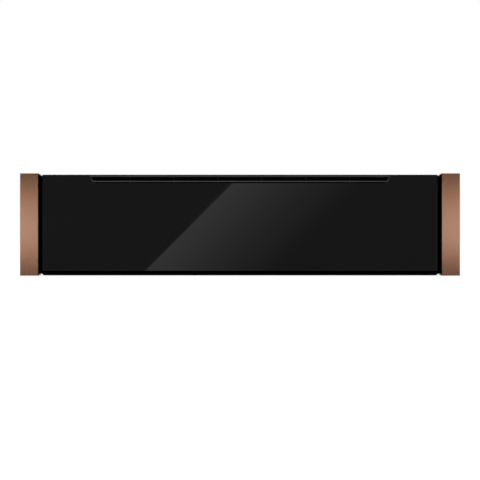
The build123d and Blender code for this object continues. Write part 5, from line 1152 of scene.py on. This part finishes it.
GRIP_RIB, GRIP_SUNK = (5.2, 0.9, 0.7), 0.2
lid = Box("tank_lid")
bm = bmesh.new()
blocks(bm, grid(lid.mid[0], evenly(-50.0, 6.0, 9), lid.high[2] - GRIP_SUNK), GRIP_RIB, 0.3)
piece("grip_ribs", bm, "grey_plastic", "tank")


# Stage: camera, floor, world, the card that the glass mirrors, the strips that the trims mirror, and lamps

WHITE = (1.0, 1.0, 1.0, 1.0)


def part_rays(surface, unseen, seen):
    """Shows one shader to the camera and to what metal and glass pass on, and another to the rest."""
    tree = surface.id_data
    path = add(tree, "ShaderNodeLightPath").outputs
    direct = calc("MAXIMUM", path["Is Camera Ray"], path["Is Glossy Ray"])
    mix = add(tree, "ShaderNodeMixShader")
    set_sockets(mix, Fac=calc("MAXIMUM", direct, path["Is Transmission Ray"]))
    feed(mix.inputs[1], unseen)
    feed(mix.inputs[2], seen)
    feed(surface, mix.outputs["Shader"])


def ramp(factor, stops):
    """A colour ramp from rows of (position, colour)."""
    node = add(factor.id_data, "ShaderNodeValToRGB")
    elements = node.color_ramp.elements
    elements.remove(elements[-1])
    for index, (position, color) in enumerate(stops):
        element = elements.new(position) if index else elements[0]
        element.position = position
        element.color = rgba(color)
    set_sockets(node, Fac=factor)
    return node.outputs["Color"]


def stage_face(name, corners):
    """A face with an empty material: returns the object, its node tree and the socket of its surface."""
    mesh = bpy.data.meshes.new(name)
    mesh.from_pydata(corners, [], [(0, 1, 2, 3)])
    mat = bpy.data.materials.new(name)
    mat.use_nodes = True
    tree = mat.node_tree
    tree.nodes.clear()
    mesh.materials.append(mat)
    output = add(tree, "ShaderNodeOutputMaterial")
    return link(bpy.data.objects.new(name, mesh)), tree, output.inputs["Surface"]


def card(name, left, right, y, low, high):
    """An upright face that glows, and that only reflections show: returns its node tree and its glow."""
    corners = [(left, y, low), (right, y, low), (right, y, high), (left, y, high)]
    obj, tree, surface = stage_face(name, corners)
    for ray in ("camera", "diffuse", "transmission", "shadow"):
        setattr(obj, "visible_" + ray, False)
    glow = add(tree, "ShaderNodeEmission")
    feed(surface, glow.outputs["Emission"])
    return tree, glow


FLOOR_HALF = 12.0
# To the eye the floor glows almost white, fully so far away, and its lit share on top carries the shadow
FLOOR_GLOW = 0.78
FLOOR_SHADE = 0.32
FLOOR_NEAR, FLOOR_FAR = 1.5, 4.0
# What the floor throws back onto the object
FLOOR_WHITE = 0.9


def floor():
    obj, tree, surface = stage_face("floor", [
        (-FLOOR_HALF, -FLOOR_HALF, 0), (FLOOR_HALF, -FLOOR_HALF, 0), (FLOOR_HALF, FLOOR_HALF, 0),
        (-FLOOR_HALF, FLOOR_HALF, 0),
    ])
    matt, faint = (add(tree, "ShaderNodeBsdfDiffuse") for _ in range(2))
    set_sockets(matt, Color=rgba((FLOOR_WHITE,) * 3))
    set_sockets(faint, Color=rgba((FLOOR_SHADE,) * 3))
    away = add(tree, "ShaderNodeVectorMath", operation="LENGTH")
    feed(away.inputs[0], add(tree, "ShaderNodeTexCoord").outputs["Object"])
    glow = add(tree, "ShaderNodeEmission")
    set_sockets(glow, Strength=spread(away.outputs["Value"], FLOOR_GLOW, 1.0, FLOOR_NEAR, FLOOR_FAR))
    seen = add(tree, "ShaderNodeAddShader")
    feed(seen.inputs[0], glow.outputs["Emission"])
    feed(seen.inputs[1], faint.outputs["BSDF"])
    part_rays(surface, matt.outputs["BSDF"], seen.outputs["Shader"])
    obj.visible_glossy = False


def camera():
    data = bpy.data.cameras.new("camera")
    data.lens = LENS
    data.sensor_width = SENSOR
    data.clip_end = 60.0
    obj = link(bpy.data.objects.new("camera", data))
    obj.location = (0.0, front_y - camera_distance, camera_z)
    obj.rotation_euler = (math.pi / 2, 0.0, 0.0)
    bpy.context.scene.camera = obj


LAMP_AIM = Vector((0, 0, 0.06))
# Rows of (name, place, size, power)
LAMPS = (
    ("key_lamp", (-1.6, -1.8, 2.1), 2.0, 26),
    ("top_lamp", (0.4, 0.2, 2.6), 2.4, 24),
    ("back_lamp", (1.8, 2.4, 1.9), 2.0, 16),
)


def lamp(name, spot, size, power):
    data = bpy.data.lights.new(name, "AREA")
    data.shape = "RECTANGLE"
    data.size, data.size_y = size, size
    data.energy = power
    obj = link(bpy.data.objects.new(name, data))
    obj.location = spot
    obj.rotation_euler = (LAMP_AIM - Vector(spot)).to_track_quat("-Z", "Y").to_euler()


CARD_DISTANCE = 2.5
CARD_HALF_WIDTH = 2.2
CARD_LOW, CARD_HIGH = -0.9, 1.4
CARD_BASE, CARD_PEAK = 0.19, 0.79
# Along the fade, rows of (share of the way, share of the peak)
CARD_FADE = ((0.0, 0.0), (0.012, 0.98), (0.5, 0.4), (1.0, 0.0))
# Outside what the pane mirrors, the card is almost black
CARD_FIELD = 0.72
CARD_DARK = 0.03
# Where the mirrored edge crosses the pane, as two points in its plane, and how far right it fades
EDGE_LOW = (-0.1294, 0.0067)
EDGE_HIGH = (-0.0112, 0.1259)
FADE_WIDTH = 0.176


def mirror_card():
    """A dim card behind the camera with a brighter slanted field."""
    grow = 1 + CARD_DISTANCE / camera_distance
    low_x, high_x = EDGE_LOW[0] * grow, EDGE_HIGH[0] * grow
    low_z, high_z = (camera_z + (point[1] - camera_z) * grow for point in (EDGE_LOW, EDGE_HIGH))
    slope = (high_x - low_x) / (high_z - low_z)
    card_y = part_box("glass_front")[0].y - CARD_DISTANCE
    tree, glow = card("mirror_card", -CARD_HALF_WIDTH, CARD_HALF_WIDTH, card_y, CARD_LOW, CARD_HIGH)
    axes = split_axes(tree)
    start = low_x - slope * low_z
    lean = calc("MULTIPLY_ADD", axes["Z"], -slope, axes["X"])
    along = spread(lean, 0.0, 1.0, start, start + FADE_WIDTH * grow)
    greys = [(position, (CARD_BASE + (CARD_PEAK - CARD_BASE) * share,) * 3) for position, share in CARD_FADE]
    outside = beyond(tree, "X", CARD_FIELD, mirrored=True)
    set_sockets(glow, Color=blend_colors(outside, ramp(along, greys), (CARD_DARK,) * 3))


# The room's brightness behind the object and in front of it, and where along Y it changes
WORLD_BRIGHT, WORLD_DIM = 0.5, 0.16
WORLD_FRONT, WORLD_BACK = -0.92, -0.45


def world():
    """White to the camera. For the rest it is a pale room, dimmer in front of the object, on the camera's
    side."""
    data = bpy.data.worlds.new("studio")
    data.use_nodes = True
    bpy.context.scene.world = data
    tree = data.node_tree
    tree.nodes.clear()
    output = add(tree, "ShaderNodeOutputWorld")
    lit, white = (add(tree, "ShaderNodeBackground") for _ in range(2))
    depth = split_axes(tree, "Generated")["Y"]
    set_sockets(lit, Color=WHITE, Strength=spread(depth, WORLD_DIM, WORLD_BRIGHT, WORLD_FRONT, WORLD_BACK))
    set_sockets(white, Color=WHITE)
    part_rays(output.inputs["Surface"], lit.outputs["Background"], white.outputs["Background"])


# Two strips beside the camera put the soft, cool highlight on the trims
STRIP_DISTANCE = 1.5
STRIP_INNER, STRIP_OUTER = 0.495, 1.5
STRIP_LOW, STRIP_HIGH = -0.03, 0.21
STRIP_BRIGHT = 4.24
# Rows of (height, colour)
STRIP_PROFILE = (
    (-0.007, (0.0, 0.0, 0.0)),
    (0.010, (0.48, 0.37, 0.29)),
    (0.050, (0.53, 0.63, 0.73)),
    (0.100, (0.45, 0.52, 0.58)),
    (0.170, (0.38, 0.31, 0.21)),
    (0.187, (0.0, 0.0, 0.0)),
)


def strip_card(side):
    tree, glow = card("strip_card", side * STRIP_INNER, side * STRIP_OUTER, front_y - STRIP_DISTANCE,
                      STRIP_LOW, STRIP_HIGH)
    along = spread(split_axes(tree)["Z"], 0.0, 1.0, STRIP_LOW, STRIP_HIGH)
    stops = [((height - STRIP_LOW) / (STRIP_HIGH - STRIP_LOW), color) for height, color in STRIP_PROFILE]
    set_sockets(glow, Color=ramp(along, stops), Strength=STRIP_BRIGHT)


camera()
floor()
world()
mirror_card()
for row in LAMPS:
    lamp(*row)
for side in SIDES:
    strip_card(side)

bpy.context.scene.view_settings.view_transform = "Standard"
